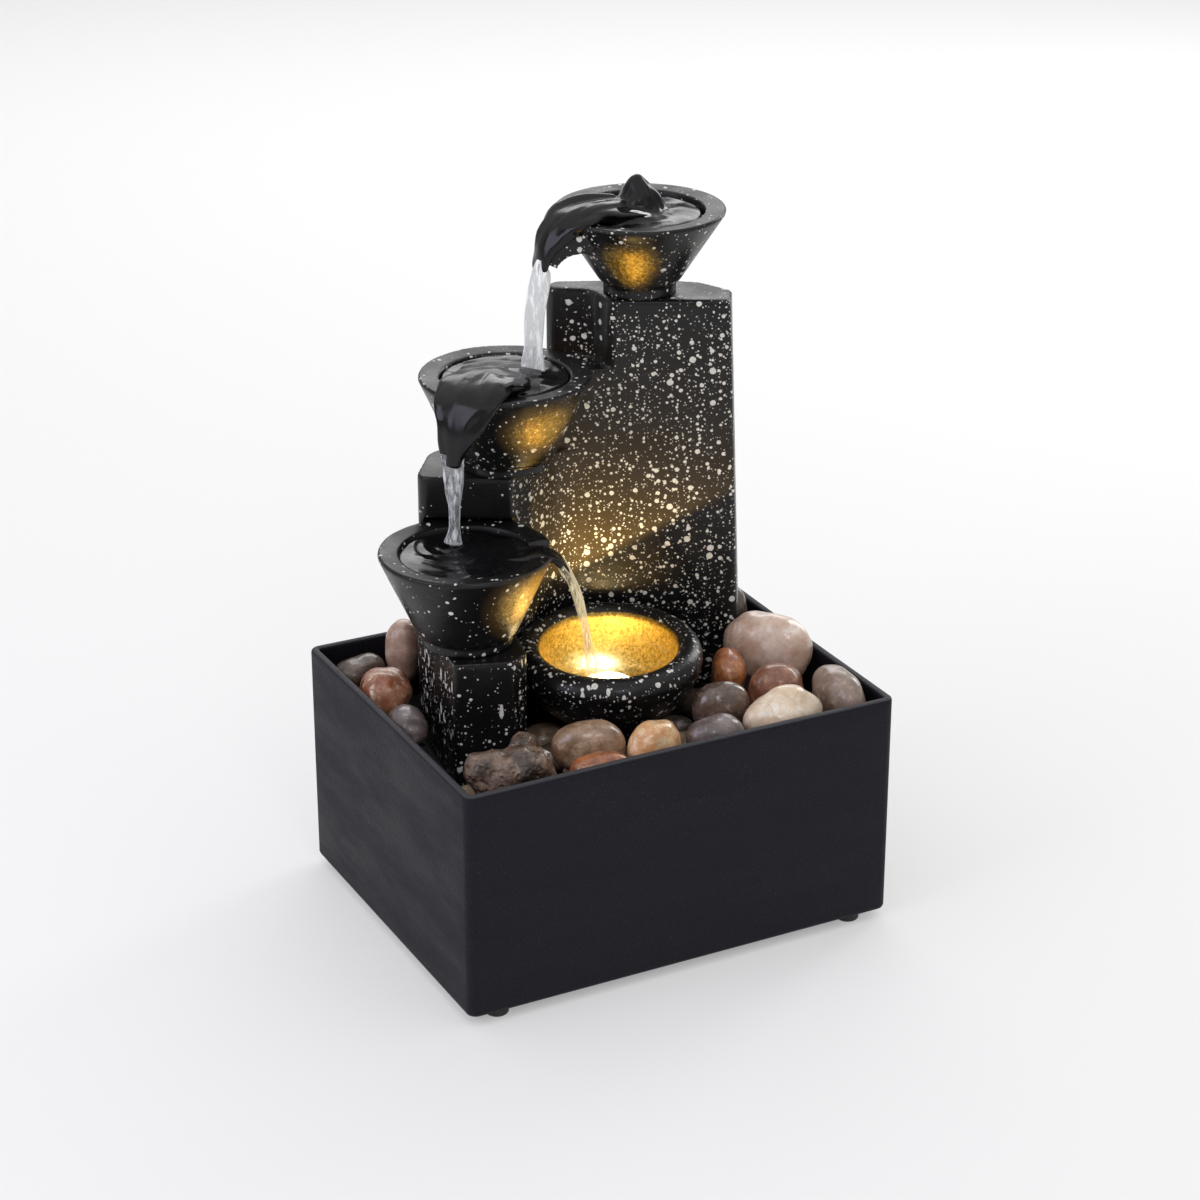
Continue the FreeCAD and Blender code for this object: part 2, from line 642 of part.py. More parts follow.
LEAD_END_Z = PUMP_TOP + SOCKET_H + 4.0   # top of the plug, where the lead ends
LEAD_TOP_Z = LED_BOTTOM - 1.0
LEAD_FLAT_Z = TRAY_TOP + 3.5


def lead_route():
    """Down from the light, along the groove under the bridge, down to the plug."""
    u, v = BOWL_4[:2]
    return [Vector(u, v, LEAD_TOP_Z), Vector(u, v, LEAD_FLAT_Z + 5.0),
            Vector(u, v + 4.5, LEAD_FLAT_Z), Vector(u, v + 12.0, LEAD_FLAT_Z - 0.1),
            Vector(u, v + 26.0, LEAD_FLAT_Z + 0.1), Vector(u, LEAD_V - 6.0, LEAD_FLAT_Z),
            Vector(u, LEAD_V, LEAD_FLAT_Z - 6.0), Vector(u, LEAD_V, LEAD_END_Z)]


def cord_path(points):
    """Straight runs joined by tangent arcs, each arc as large as its two runs allow."""
    edges, radii = [], []
    here = points[0]
    for before, corner, after in zip(points, points[1:], points[2:]):
        back = (before - corner)
        ahead = (after - corner)
        half_turn = (math.pi - back.getAngle(ahead)) / 2
        reach = 0.45 * min(back.Length, ahead.Length)
        radius = reach / math.tan(half_turn)
        start = corner + back.normalize() * reach
        end = corner + ahead.normalize() * reach
        middle = (back + ahead).normalize()
        bulge = radius / math.cos(half_turn) - radius
        edges.append(Part.LineSegment(here, start).toShape())
        edges.append(Part.Arc(start, corner + middle * bulge, end).toShape())
        radii.append(round(radius, 1))
        here = end
    edges.append(Part.LineSegment(here, points[-1]).toShape())
    return Part.Wire(edges), radii


def make_led_lead():
    path, radii = cord_path(lead_route())
    start = lead_route()[0]
    section = Part.Wire(Part.makeCircle(LEAD_R, start, Vector(0, 0, -1)))
    tube = path.makePipeShell([section], True, False)
    print("led lead radii", radii, "length", round(path.Length, 1),
          "volume ratio", round(tube.Volume / (math.pi * LEAD_R ** 2 * path.Length), 4))
    return tube


def make_led_gland():
    """The rubber plug in the floor of the light, which the lead leaves by."""
    u, v = BOWL_4[:2]
    inside = ring(LEAD_NECK_R, LEAD_R, LED_WALL, u, v, LED_BOTTOM)
    bead = ring(LEAD_GLAND_R, LEAD_R, 1.0, u, v, LED_BOTTOM + LED_WALL)
    lead_stop = cyl(LEAD_R, LED_WALL + 2.0, u, v, LEAD_TOP_Z)
    collar = ring(LEAD_GLAND_R, LEAD_R, LED_BOTTOM - LEAD_TOP_Z, u, v, LEAD_TOP_Z)
    return join([inside, bead, collar, lead_stop])


def make_led_plug():
    """The plug at the lead's lower end; its pin stands in the pump's socket."""
    u, v = BOWL_4[0], LEAD_V
    body_z = PUMP_TOP + SOCKET_H
    body = cyl(PLUG_R, LEAD_END_Z - body_z, u, v, body_z)
    pin = cyl(PIN_R, PIN_L, u, v, body_z - PIN_L)
    return join([body, pin])


# ---- pump ---------------------------------------------------------------------------
X_AXIS = Vector(1, 0, 0)


def along_rotor(radius, x0, x1):
    return cyl(radius, x1 - x0, x0, OUTLET_Y, ROTOR_Z, X_AXIS)


CHAMBER_BACK = PUMP_FRONT - CHAMBER_L
WELL_BACK = CHAMBER_BACK - ROTOR_L - 1.0
SHAFT_BACK = WELL_BACK - BUSH_L


def make_pump_housing():
    y0 = OUTLET_Y - PUMP_W / 2
    block = box(PUMP_BACK, y0, PUMP_BOTTOM, PUMP_L, PUMP_W, PUMP_H)
    block = block.makeFillet(PUMP_EDGE_R, [e for e in block.Edges
                                           if e.BoundBox.XLength > PUMP_L - 0.1])
    wall = PUMP_WALL
    coil_room = box(PUMP_BACK, y0 + wall, PUMP_BOTTOM + wall, CHAMBER_BACK - 2 - PUMP_BACK,
                    PUMP_W - 2 * wall, PUMP_H - 2 * wall)
    well = along_rotor(WELL_R + WELL_WALL, WELL_BACK - BUSH_L - WELL_WALL, CHAMBER_BACK)
    room = coil_room.cut(well)
    chamber = along_rotor(CHAMBER_R, CHAMBER_BACK, PUMP_FRONT)
    bore = along_rotor(WELL_R, WELL_BACK, CHAMBER_BACK)
    bush_seat = along_rotor(BUSH_R, WELL_BACK - BUSH_L, WELL_BACK)
    outlet = cyl(NOZZLE_BORE_R, PUMP_TOP - ROTOR_Z, OUTLET_X, OUTLET_Y, ROTOR_Z)
    nozzle_seat = cyl(NOZZLE_R, wall, OUTLET_X, OUTLET_Y, PUMP_TOP - wall)
    socket_hole = cyl(PLUG_R, wall, PLUG_X, PLUG_Y, PUMP_TOP - wall)
    housing = cut_all(block, [room, chamber, bore, bush_seat, outlet, nozzle_seat, socket_hole])
    pockets = [cyl(CUP_STEM_R, CUP_STEM_H, x, y, PUMP_BOTTOM) for x, y in cup_places()]
    return cut_all(housing, pockets)


def cup_places():
    xs = (PUMP_BACK + 6.5, PUMP_FRONT - 6.5)
    ys = (OUTLET_Y - PUMP_W / 2 + 6.5, OUTLET_Y + PUMP_W / 2 - 6.5)
    return [(x, y) for x in xs for y in ys]


def make_suction_cups():
    cups = []
    for x, y in cup_places():
        skirt = Part.makeCone(CUP_R, CUP_NECK_R, CUP_H - 0.8, Vector(x, y, FLOOR_Z))
        neck = cyl(CUP_NECK_R, 0.8, x, y, FLOOR_Z + CUP_H - 0.8)
        stem = cyl(CUP_STEM_R, CUP_STEM_H, x, y, PUMP_BOTTOM)
        hollow = Part.makeCone(CUP_R - 1.2, 0.6, 1.4, Vector(x, y, FLOOR_Z))
        cups.append(join([skirt, neck, stem]).cut(hollow))
    return Part.makeCompound(cups)


def make_back_plate():
    wall = PUMP_WALL
    plate = box(PUMP_BACK, OUTLET_Y - PUMP_W / 2 + wall, PUMP_BOTTOM + wall, BACK_PLATE_T,
                PUMP_W - 2 * wall, PUMP_H - 2 * wall)
    return plate.cut(cyl(GLAND_NECK_R, BACK_PLATE_T, PUMP_BACK, OUTLET_Y, ROTOR_Z, X_AXIS))


def make_cable_gland():
    """The inlet for the supply cord, which isn't part of the model."""
    start = PUMP_BACK - GLAND_L
    sleeve = Part.makeCone(GLAND_R - 1.2, GLAND_R, GLAND_L, Vector(start, OUTLET_Y, ROTOR_Z), X_AXIS)
    neck = cyl(GLAND_NECK_R, BACK_PLATE_T, PUMP_BACK, OUTLET_Y, ROTOR_Z, X_AXIS)
    bore = cyl(GLAND_BORE_R, GLAND_L - 1, start, OUTLET_Y, ROTOR_Z, X_AXIS)
    return join([sleeve, neck]).cut(bore)


STATOR_BACK = WELL_BACK + 3.0
STATOR_L = 13.0


def make_stator_core():
    seat = WELL_R + WELL_WALL
    yoke = along_rotor(seat + 3.6, STATOR_BACK, STATOR_BACK + STATOR_L)
    return yoke.cut(along_rotor(seat, STATOR_BACK, STATOR_BACK + STATOR_L))


def make_stator_coils():
    """The two end windings, one each side of the core."""
    seat = WELL_R + WELL_WALL
    coils = []
    for x in (STATOR_BACK - 2.5, STATOR_BACK + STATOR_L):
        coils.append(along_rotor(seat + 3.0, x, x + 2.5).cut(along_rotor(seat, x, x + 2.5)))
    return Part.makeCompound(coils)


def make_led_socket():
    """The low-voltage socket on top of the pump: a sleeve that grips in the top wall."""
    base = cyl(PLUG_R, PUMP_WALL, PLUG_X, PLUG_Y, PUMP_TOP - PUMP_WALL)
    sleeve = cyl(PLUG_R + 1.0, SOCKET_H, PLUG_X, PLUG_Y, PUMP_TOP)
    bore = cyl(PIN_R + RUN_FIT, PIN_L + 0.5, PLUG_X, PLUG_Y, PUMP_TOP + SOCKET_H - PIN_L - 0.5)
    return join([base, sleeve]).cut(bore)


def make_outlet_nozzle():
    seat = cyl(NOZZLE_R, PUMP_WALL, OUTLET_X, OUTLET_Y, PUMP_TOP - PUMP_WALL)
    base = cyl(NOZZLE_BASE_R, NOZZLE_BASE_H, OUTLET_X, OUTLET_Y, PUMP_TOP)
    stem = cyl(NOZZLE_R, NOZZLE_H, OUTLET_X, OUTLET_Y, PUMP_TOP)
    bore = cyl(NOZZLE_BORE_R, NOZZLE_H + PUMP_WALL, OUTLET_X, OUTLET_Y, PUMP_TOP - PUMP_WALL)
    return join([seat, base, stem]).cut(bore)


def make_shaft():
    return along_rotor(SHAFT_R, SHAFT_BACK, PUMP_FRONT + 2.0)


def make_rear_bush():
    return along_rotor(BUSH_R, WELL_BACK - BUSH_L, WELL_BACK).cut(
        along_rotor(SHAFT_R, SHAFT_BACK, WELL_BACK))


def make_rotor_magnet():
    x0 = WELL_BACK + 0.5
    return along_rotor(ROTOR_R, x0, CHAMBER_BACK + 0.5).cut(
        along_rotor(SHAFT_R + RUN_FIT, x0, CHAMBER_BACK + 0.5))


def make_impeller():
    x0 = CHAMBER_BACK + 0.5
    hub = along_rotor(3.2, x0, x0 + IMPELLER_L)
    disc = along_rotor(IMPELLER_R, x0, x0 + 1.2)
    blades = []
    for i in range(BLADES):
        blade = box(x0, OUTLET_Y - BLADE_T / 2, ROTOR_Z + 2.5, IMPELLER_L, BLADE_T, IMPELLER_R - 3.0)
        blade.rotate(Vector(x0, OUTLET_Y, ROTOR_Z), X_AXIS, 360.0 * i / BLADES)
        blades.append(blade)
    return join([hub, disc] + blades).cut(along_rotor(SHAFT_R + RUN_FIT, x0, x0 + IMPELLER_L))


def make_pump_cover():
    inset = COVER_INSET
    plate = box(PUMP_FRONT, OUTLET_Y - PUMP_W / 2 + inset, PUMP_BOTTOM + inset, COVER_T,
                PUMP_W - 2 * inset, PUMP_H - 2 * inset)
    plate = plate.makeFillet(PUMP_EDGE_R, [e for e in plate.Edges
                                           if abs(e.BoundBox.XLength - COVER_T) < 0.01])
    slots = []
    for i in range(COVER_SLOTS):
        y = OUTLET_Y + (i - (COVER_SLOTS - 1) / 2) * 4.4
        slots.append(box(PUMP_FRONT, y - 1.1, ROTOR_Z + 4.2, COVER_T, 2.2, 6.5))
        slots.append(box(PUMP_FRONT, y - 1.1, ROTOR_Z - 10.7, COVER_T, 2.2, 6.5))
    bush_seat = along_rotor(BUSH_R, PUMP_FRONT, PUMP_FRONT + BUSH_L)
    rail_l = SLIDER_L + SLIDER_TRAVEL + 2.0
    rails = [box(PUMP_FRONT + COVER_T, OUTLET_Y - rail_l / 2, ROTOR_Z + dz, SLIDER_T + 1.0,
                 rail_l, RAIL_T) for dz in (SLIDER_Z - RAIL_T, SLIDER_Z + SLIDER_H + 0.2)]
    return cut_all(join([plate] + rails), slots + [bush_seat])


def make_front_bush():
    seat = along_rotor(BUSH_R, PUMP_FRONT, PUMP_FRONT + BUSH_L)
    return seat.cut(along_rotor(SHAFT_R + RUN_FIT, PUMP_FRONT, PUMP_FRONT + 2.2))


def make_flow_slider():
    """The flow regulator: a plate between two rails that covers the lower slots."""
    x = PUMP_FRONT + COVER_T + 0.1
    y = OUTLET_Y - (SLIDER_L + SLIDER_TRAVEL) / 2
    z = ROTOR_Z + SLIDER_Z + 0.1
    plate = box(x, y, z, SLIDER_T, SLIDER_L, SLIDER_H)
    tab = box(x + SLIDER_T, y + SLIDER_L / 2 - 2.0, z + 1.5, 2.4, 4.0, SLIDER_H - 3.0)
    return join([plate, tab])


# ---- pebbles --------------------------------------------------------------------------
def from_walls(side, x, y):
    """A pebble's place in the basin, from what its row in the table says."""
    if "L" in side:
        x = x - INNER_X
    if "R" in side:
        x = INNER_X - x
    if "F" in side:
        y = y - INNER_Y
    if "B" in side:
        y = INNER_Y - y
    return x, y


def pebble(x, y, z, length, width, height, turn):
    scale = Matrix()
    scale.scale(length / 2, width / 2, height / 2)
    stone = Part.makeSphere(1.0).transformGeometry(scale)
    stone.rotate(Vector(0, 0, 0), Vector(0, 0, 1), turn)
    stone.translate(Vector(x, y, z))
    return stone


FILL_STEP_X = 23.0
FILL_STEP_Y = 17.0
FILL_L = 21.0
FILL_W = 15.5


def make_fill_pebbles():
    """The flat bottom layer, in two shades: staggered rows wherever the tower leaves room."""
    light, dark = [], []
    columns = int((INNER_X - FILL_L / 2) // FILL_STEP_X)
    rows = int((INNER_Y - FILL_W / 2) // FILL_STEP_Y)
    for j in range(-rows, rows + 1):
        for i in range(-columns, columns + 1):
            x = i * FILL_STEP_X + 1.2 * math.sin(5.0 * i + 3.0 * j)
            y = j * FILL_STEP_Y + 0.6 * math.cos(4.0 * i + 2.0 * j)
            if under_tower(x, y, FILL_L / 2 + 0.5):
                continue
            stone = pebble(x, y, TRAY_TOP + FILL_H / 2, FILL_L - abs(i % 3), FILL_W - abs(j % 2),
                           FILL_H, 4.0 * math.sin(2.0 * i + j))
            (light if (i + j) % 2 else dark).append(stone)
    return Part.makeCompound(light), Part.makeCompound(dark)


# ---- build ----------------------------------------------------------------------------
OUTER_TOWER = make_outer_tower()
TOWER_FOOT = turned(OUTER_TOWER.common(box(-200, -200, TRAY_TOP, 400, 400, 2.0)))

save("basin", make_basin())
save("feet", make_feet())
save("pebble_tray", make_tray())

save("tower_body", turned(make_tower(OUTER_TOWER)))
save("bowl_top", turned(make_bowl_1()))
save("bowl_second", turned(make_bowl_2()))
save("bowl_third", turned(make_bowl_3()))
save("bowl_lit", turned(make_bowl_4()))
save("riser_tube", turned(make_riser_tube()))
save("tube_grommet", turned(make_tube_grommet()))

save("led_housing", turned(make_led_housing()))
save("led_seal", turned(make_led_seal()))
save("led_board", turned(make_led_board()))
save("led_lens", turned(make_led_lens()))
save("led_gland", turned(make_led_gland()))
save("led_lead", turned(make_led_lead()))
save("led_plug", turned(make_led_plug()))

save("pump_housing", make_pump_housing())
save("suction_cups", make_suction_cups())
save("pump_back_plate", make_back_plate())
save("cable_gland", make_cable_gland())
save("stator_core", make_stator_core())
save("stator_coils", make_stator_coils())
save("led_socket", make_led_socket())
save("outlet_nozzle", make_outlet_nozzle())
save("rotor_shaft", make_shaft())
save("rear_bush", make_rear_bush())
save("rotor_magnet", make_rotor_magnet())
save("impeller", make_impeller())
save("pump_cover", make_pump_cover())
save("front_bush", make_front_bush())
save("flow_slider", make_flow_slider())

fill_light, fill_dark = make_fill_pebbles()
save("pebbles_fill_light", fill_light)
save("pebbles_fill_dark", fill_dark)
for name, side, x, y, length, width, height, turn, raised in PEBBLES:
    stone_x, stone_y = from_walls(side, x, y)
    stone_z = LAYER_Z + raised + height / 2
    save("pebble_" + name, pebble(stone_x, stone_y, stone_z, length, width, height, turn))
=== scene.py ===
import json
import math

import bmesh
import bpy
import numpy as np
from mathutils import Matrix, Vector, noise

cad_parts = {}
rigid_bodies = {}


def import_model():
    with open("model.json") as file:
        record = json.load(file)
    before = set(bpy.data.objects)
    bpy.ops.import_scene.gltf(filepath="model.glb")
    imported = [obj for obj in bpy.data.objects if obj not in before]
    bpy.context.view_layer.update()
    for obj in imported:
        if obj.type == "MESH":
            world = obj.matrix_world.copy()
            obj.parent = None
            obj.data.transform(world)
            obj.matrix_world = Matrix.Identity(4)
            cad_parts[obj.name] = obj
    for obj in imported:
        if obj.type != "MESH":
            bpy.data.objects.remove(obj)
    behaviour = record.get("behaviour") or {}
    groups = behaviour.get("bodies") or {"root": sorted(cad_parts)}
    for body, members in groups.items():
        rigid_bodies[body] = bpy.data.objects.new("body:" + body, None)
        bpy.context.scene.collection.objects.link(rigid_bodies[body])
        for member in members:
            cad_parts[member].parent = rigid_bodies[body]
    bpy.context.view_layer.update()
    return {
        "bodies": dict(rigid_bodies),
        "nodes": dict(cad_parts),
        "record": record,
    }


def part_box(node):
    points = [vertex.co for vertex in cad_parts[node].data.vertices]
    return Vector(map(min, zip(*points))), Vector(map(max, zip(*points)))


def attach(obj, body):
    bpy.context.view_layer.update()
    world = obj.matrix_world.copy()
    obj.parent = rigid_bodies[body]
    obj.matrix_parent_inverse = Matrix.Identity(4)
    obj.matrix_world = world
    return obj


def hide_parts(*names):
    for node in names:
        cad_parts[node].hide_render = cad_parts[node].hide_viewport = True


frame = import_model()
NODES = frame["nodes"]
MM = 0.001

# ---- places, from the frame: millimetres, in the tower's own turned frame -----------
TOWER_TURN = math.radians(-27.5)
SPOUTS = {"top": 208.0, "second": 240.0, "third": 4.0}    # directions, in degrees


def middle(node):
    low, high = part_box(node)
    return (low + high) / 2


def to_tower(x, y):
    """A point of the part's frame, in metres, as the tower's u and v in millimetres."""
    c, s = math.cos(-TOWER_TURN), math.sin(-TOWER_TURN)
    return ((x * c - y * s) / MM, (x * s + y * c) / MM)


def place(u, v, z):
    """A point of the tower's frame, in millimetres, as a vector of the part's, in metres."""
    c, s = math.cos(TOWER_TURN), math.sin(TOWER_TURN)
    return Vector((u * c - v * s, u * s + v * c, z)) * MM


def bowl_at(axis_node, rim_node):
    """A bowl's axis, from a round node on it, and its rim height."""
    centre = middle(axis_node)
    u, v = to_tower(centre.x, centre.y)
    return u, v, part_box(rim_node)[1].z / MM


BOWLS = {
    "top": bowl_at("tube_grommet", "bowl_top"),
    "second": bowl_at("bowl_second", "bowl_second"),
    "third": bowl_at("bowl_third", "bowl_third"),
    "lit": bowl_at("led_housing", "bowl_lit"),
}


# ---- camera and stage ----------------------------------------------------------------
VIEW_TARGET = (0.0337, 0.0621, 0.094)
VIEW_AZIMUTH = -27.48
VIEW_ELEVATION = 23.95
VIEW_DISTANCE = 1.2591
LENS_MM = 92.8
SENSOR_MM = 36.0
AIM_Z = 0.10               # height of the point that the studio lights are aimed at
LAMP_COLOUR = (1.0, 0.68, 0.26)
FLOOR_HALF = 4.0
FLOOR_SHADE = 0.56
FLOOR_LIFT = 0.33          # the floor's own light, which keeps the background even
WORLD_STRENGTH = 0.42


def make_camera():
    azimuth, elevation = math.radians(VIEW_AZIMUTH), math.radians(VIEW_ELEVATION)
    back = Vector((math.sin(azimuth) * math.cos(elevation),
                   -math.cos(azimuth) * math.cos(elevation), math.sin(elevation)))
    data = bpy.data.cameras.new("camera")
    data.lens = LENS_MM
    data.sensor_width = SENSOR_MM
    camera = bpy.data.objects.new("camera", data)
    camera.location = Vector(VIEW_TARGET) + back * VIEW_DISTANCE
    camera.rotation_euler = (-back).to_track_quat("-Z", "Y").to_euler()
    bpy.context.collection.objects.link(camera)
    bpy.context.scene.camera = camera


def area_light(name, azimuth, elevation, distance, size, power, colour=(1, 1, 1)):
    """A soft box aimed at AIM_Z over the origin; azimuth 0 is in front, 90 to the right."""
    data = bpy.data.lights.new(name, "AREA")
    data.shape = "RECTANGLE"
    data.size, data.size_y = size
    data.energy = power
    data.color = colour
    a, e = math.radians(azimuth), math.radians(elevation)
    out = Vector((math.sin(a) * math.cos(e), -math.cos(a) * math.cos(e), math.sin(e)))
    light = bpy.data.objects.new(name, data)
    light.location = out * distance + Vector((0, 0, AIM_Z))
    light.rotation_euler = (-out).to_track_quat("-Z", "Y").to_euler()
    bpy.context.collection.objects.link(light)


def warm_light(name, u, v, z, power, radius):
    """A small lamp, radius mm, at a point of the tower's frame. It rides on the tower."""
    data = bpy.data.lights.new(name, "POINT")
    data.energy = power
    data.color = LAMP_COLOUR
    data.shadow_soft_size = radius * MM
    light = bpy.data.objects.new(name, data)
    light.location = place(u, v, z)
    bpy.context.collection.objects.link(light)
    light.parent = frame["bodies"]["tower"]


def make_stage():
    mesh = bpy.data.meshes.new("floor")
    side = FLOOR_HALF
    mesh.from_pydata([(-side, -side, 0), (side, -side, 0), (side, side, 0), (-side, side, 0)],
                     [], [(0, 1, 2, 3)])
    floor = bpy.data.objects.new("floor", mesh)
    bpy.context.collection.objects.link(floor)
    paper = Nodes("floor_paper")
    paper.set(Base_Color=(FLOOR_SHADE,) * 3 + (1,), Roughness=0.9, Specular_IOR_Level=0.1,
              Emission_Color=(1, 1, 1, 1), Emission_Strength=FLOOR_LIFT)
    floor.data.materials.append(paper.mat)
    world = bpy.data.worlds.new("studio")
    world.use_nodes = True
    world.node_tree.nodes["Background"].inputs["Color"].default_value = (1, 1, 1, 1)
    world.node_tree.nodes["Background"].inputs["Strength"].default_value = WORLD_STRENGTH
    scene = bpy.context.scene
    scene.world = world
    scene.view_settings.view_transform = "Standard"
    area_light("overhead", 0, 90, 2.6, (7.0, 7.0), 82)
    area_light("left_box", -84, 28, 1.3, (0.7, 0.7), 4.2, (0.8, 0.78, 1.0))
    area_light("back_box", 152, 27, 1.6, (1.2, 0.5), 4.6)
    area_light("right_rim", 112, 20, 1.5, (0.4, 0.7), 4.5)
    area_light("front_fill", -10, 38, 1.7, (0.4, 0.4), 2.2)


# ---- node materials -------------------------------------------------------------------
FALL_STRETCH = 0.22        # scale in z of the streaks in falling water, under 1 to draw them out


class Nodes:
    """A material under construction, in object coordinates of millimetres."""

    def __init__(self, name):
        self.mat = bpy.data.materials.new(name)
        self.mat.use_nodes = True
        self.tree = self.mat.node_tree
        self.tree.nodes.clear()
        self.out = self.add("ShaderNodeOutputMaterial")
        self.bsdf = self.add("ShaderNodeBsdfPrincipled")
        self.link(self.bsdf.outputs[0], self.out.inputs[0])
        coords = self.add("ShaderNodeTexCoord").outputs["Object"]
        self.mm = self.mapped(coords, (1000, 1000, 1000))

    def add(self, kind, **props):
        node = self.tree.nodes.new(kind)
        for key, value in props.items():
            setattr(node, key, value)
        return node

    def link(self, source, target):
        self.tree.links.new(source, target)

    def feed(self, socket, value):
        if isinstance(value, bpy.types.NodeSocket):
            self.link(value, socket)
        else:
            socket.default_value = value

    def set(self, **sockets):
        for key, value in sockets.items():
            self.feed(self.bsdf.inputs[key.replace("_", " ")], value)
        return self

    def mapped(self, vector, scale, turn=(0, 0, 0)):
        node = self.add("ShaderNodeMapping")
        self.link(vector, node.inputs["Vector"])
        node.inputs["Scale"].default_value = scale
        node.inputs["Rotation"].default_value = turn
        return node.outputs[0]

    def math(self, operation, a, b=0.0, clamp=False):
        node = self.add("ShaderNodeMath", operation=operation, use_clamp=clamp)
        self.feed(node.inputs[0], a)
        self.feed(node.inputs[1], b)
        return node.outputs[0]

    def mix(self, factor, a, b):
        node = self.add("ShaderNodeMix", data_type="RGBA")
        self.feed(node.inputs["Factor"], factor)
        self.feed(node.inputs[6], a)
        self.feed(node.inputs[7], b)
        return node.outputs[2]

    def blend(self, factor, a, b):
        node = self.add("ShaderNodeMix", data_type="FLOAT")
        self.feed(node.inputs["Factor"], factor)
        self.feed(node.inputs[2], a)
        self.feed(node.inputs[3], b)
        return node.outputs[0]

    def ramp(self, factor, low, high, to_low=0.0, to_high=1.0):
        """Smoothly from to_low at low to to_high at high."""
        node = self.add("ShaderNodeMapRange", interpolation_type="SMOOTHSTEP")
        self.feed(node.inputs["Value"], factor)
        for key, value in (("From Min", low), ("From Max", high),
                           ("To Min", to_low), ("To Max", to_high)):
            node.inputs[key].default_value = value
        return node.outputs[0]

    def noise(self, size, detail=3.0, rough=0.5, vector=None):
        """Noise whose features are about size millimetres."""
        node = self.add("ShaderNodeTexNoise")
        self.link(self.mm if vector is None else vector, node.inputs["Vector"])
        node.inputs["Scale"].default_value = 1.0 / size
        node.inputs["Detail"].default_value = detail
        node.inputs["Roughness"].default_value = rough
        return node.outputs["Fac"]

    def warped(self, size, amount):
        """The coordinates, pushed about by up to amount millimetres."""
        node = self.add("ShaderNodeTexNoise")
        self.link(self.mm, node.inputs["Vector"])
        node.inputs["Scale"].default_value = 1.0 / size
        shift = self.add("ShaderNodeVectorMath", operation="MULTIPLY_ADD")
        self.link(node.outputs["Color"], shift.inputs[0])
        shift.inputs[1].default_value = (2 * amount,) * 3
        self.link(self.mm, shift.inputs[2])
        return shift.outputs[0]

    def cells(self, size, vector=None, feature="F1"):
        node = self.add("ShaderNodeTexVoronoi", feature=feature)
        self.link(self.mm if vector is None else vector, node.inputs["Vector"])
        node.inputs["Scale"].default_value = 1.0 / size
        return node

    def spots(self, cell, radius, share, vector, density):
        """Round specks: a share of the cells hold one, up to radius millimetres across."""
        node = self.cells(cell, vector)
        split = self.add("ShaderNodeSeparateColor")
        self.link(node.outputs["Color"], split.inputs[0])
        chance = self.math("MULTIPLY", density, share)
        chosen = self.math("LESS_THAN", split.outputs[0], chance)
        size = self.math("MULTIPLY_ADD", split.outputs[1], 0.75 * radius / cell)
        size.node.inputs[2].default_value = 0.25 * radius / cell
        edge = self.math("SUBTRACT", size, node.outputs["Distance"])
        inside = self.math("MULTIPLY", edge, cell / 0.16, clamp=True)
        return self.math("MULTIPLY", inside, chosen)

    def attribute(self, name):
        node = self.add("ShaderNodeAttribute", attribute_name=name)
        return node.outputs["Fac"]

    def bump(self, height, distance):
        """A bump of distance millimetres, over height."""
        node = self.add("ShaderNodeBump")
        self.link(height, node.inputs["Height"])
        node.inputs["Distance"].default_value = distance * MM
        node.inputs["Strength"].default_value = 1.0
        self.link(node.outputs[0], self.bsdf.inputs["Normal"])
        return self

    def most(self, values):
        result = values[0]
        for value in values[1:]:
            result = self.math("MAXIMUM", result, value)
        return result


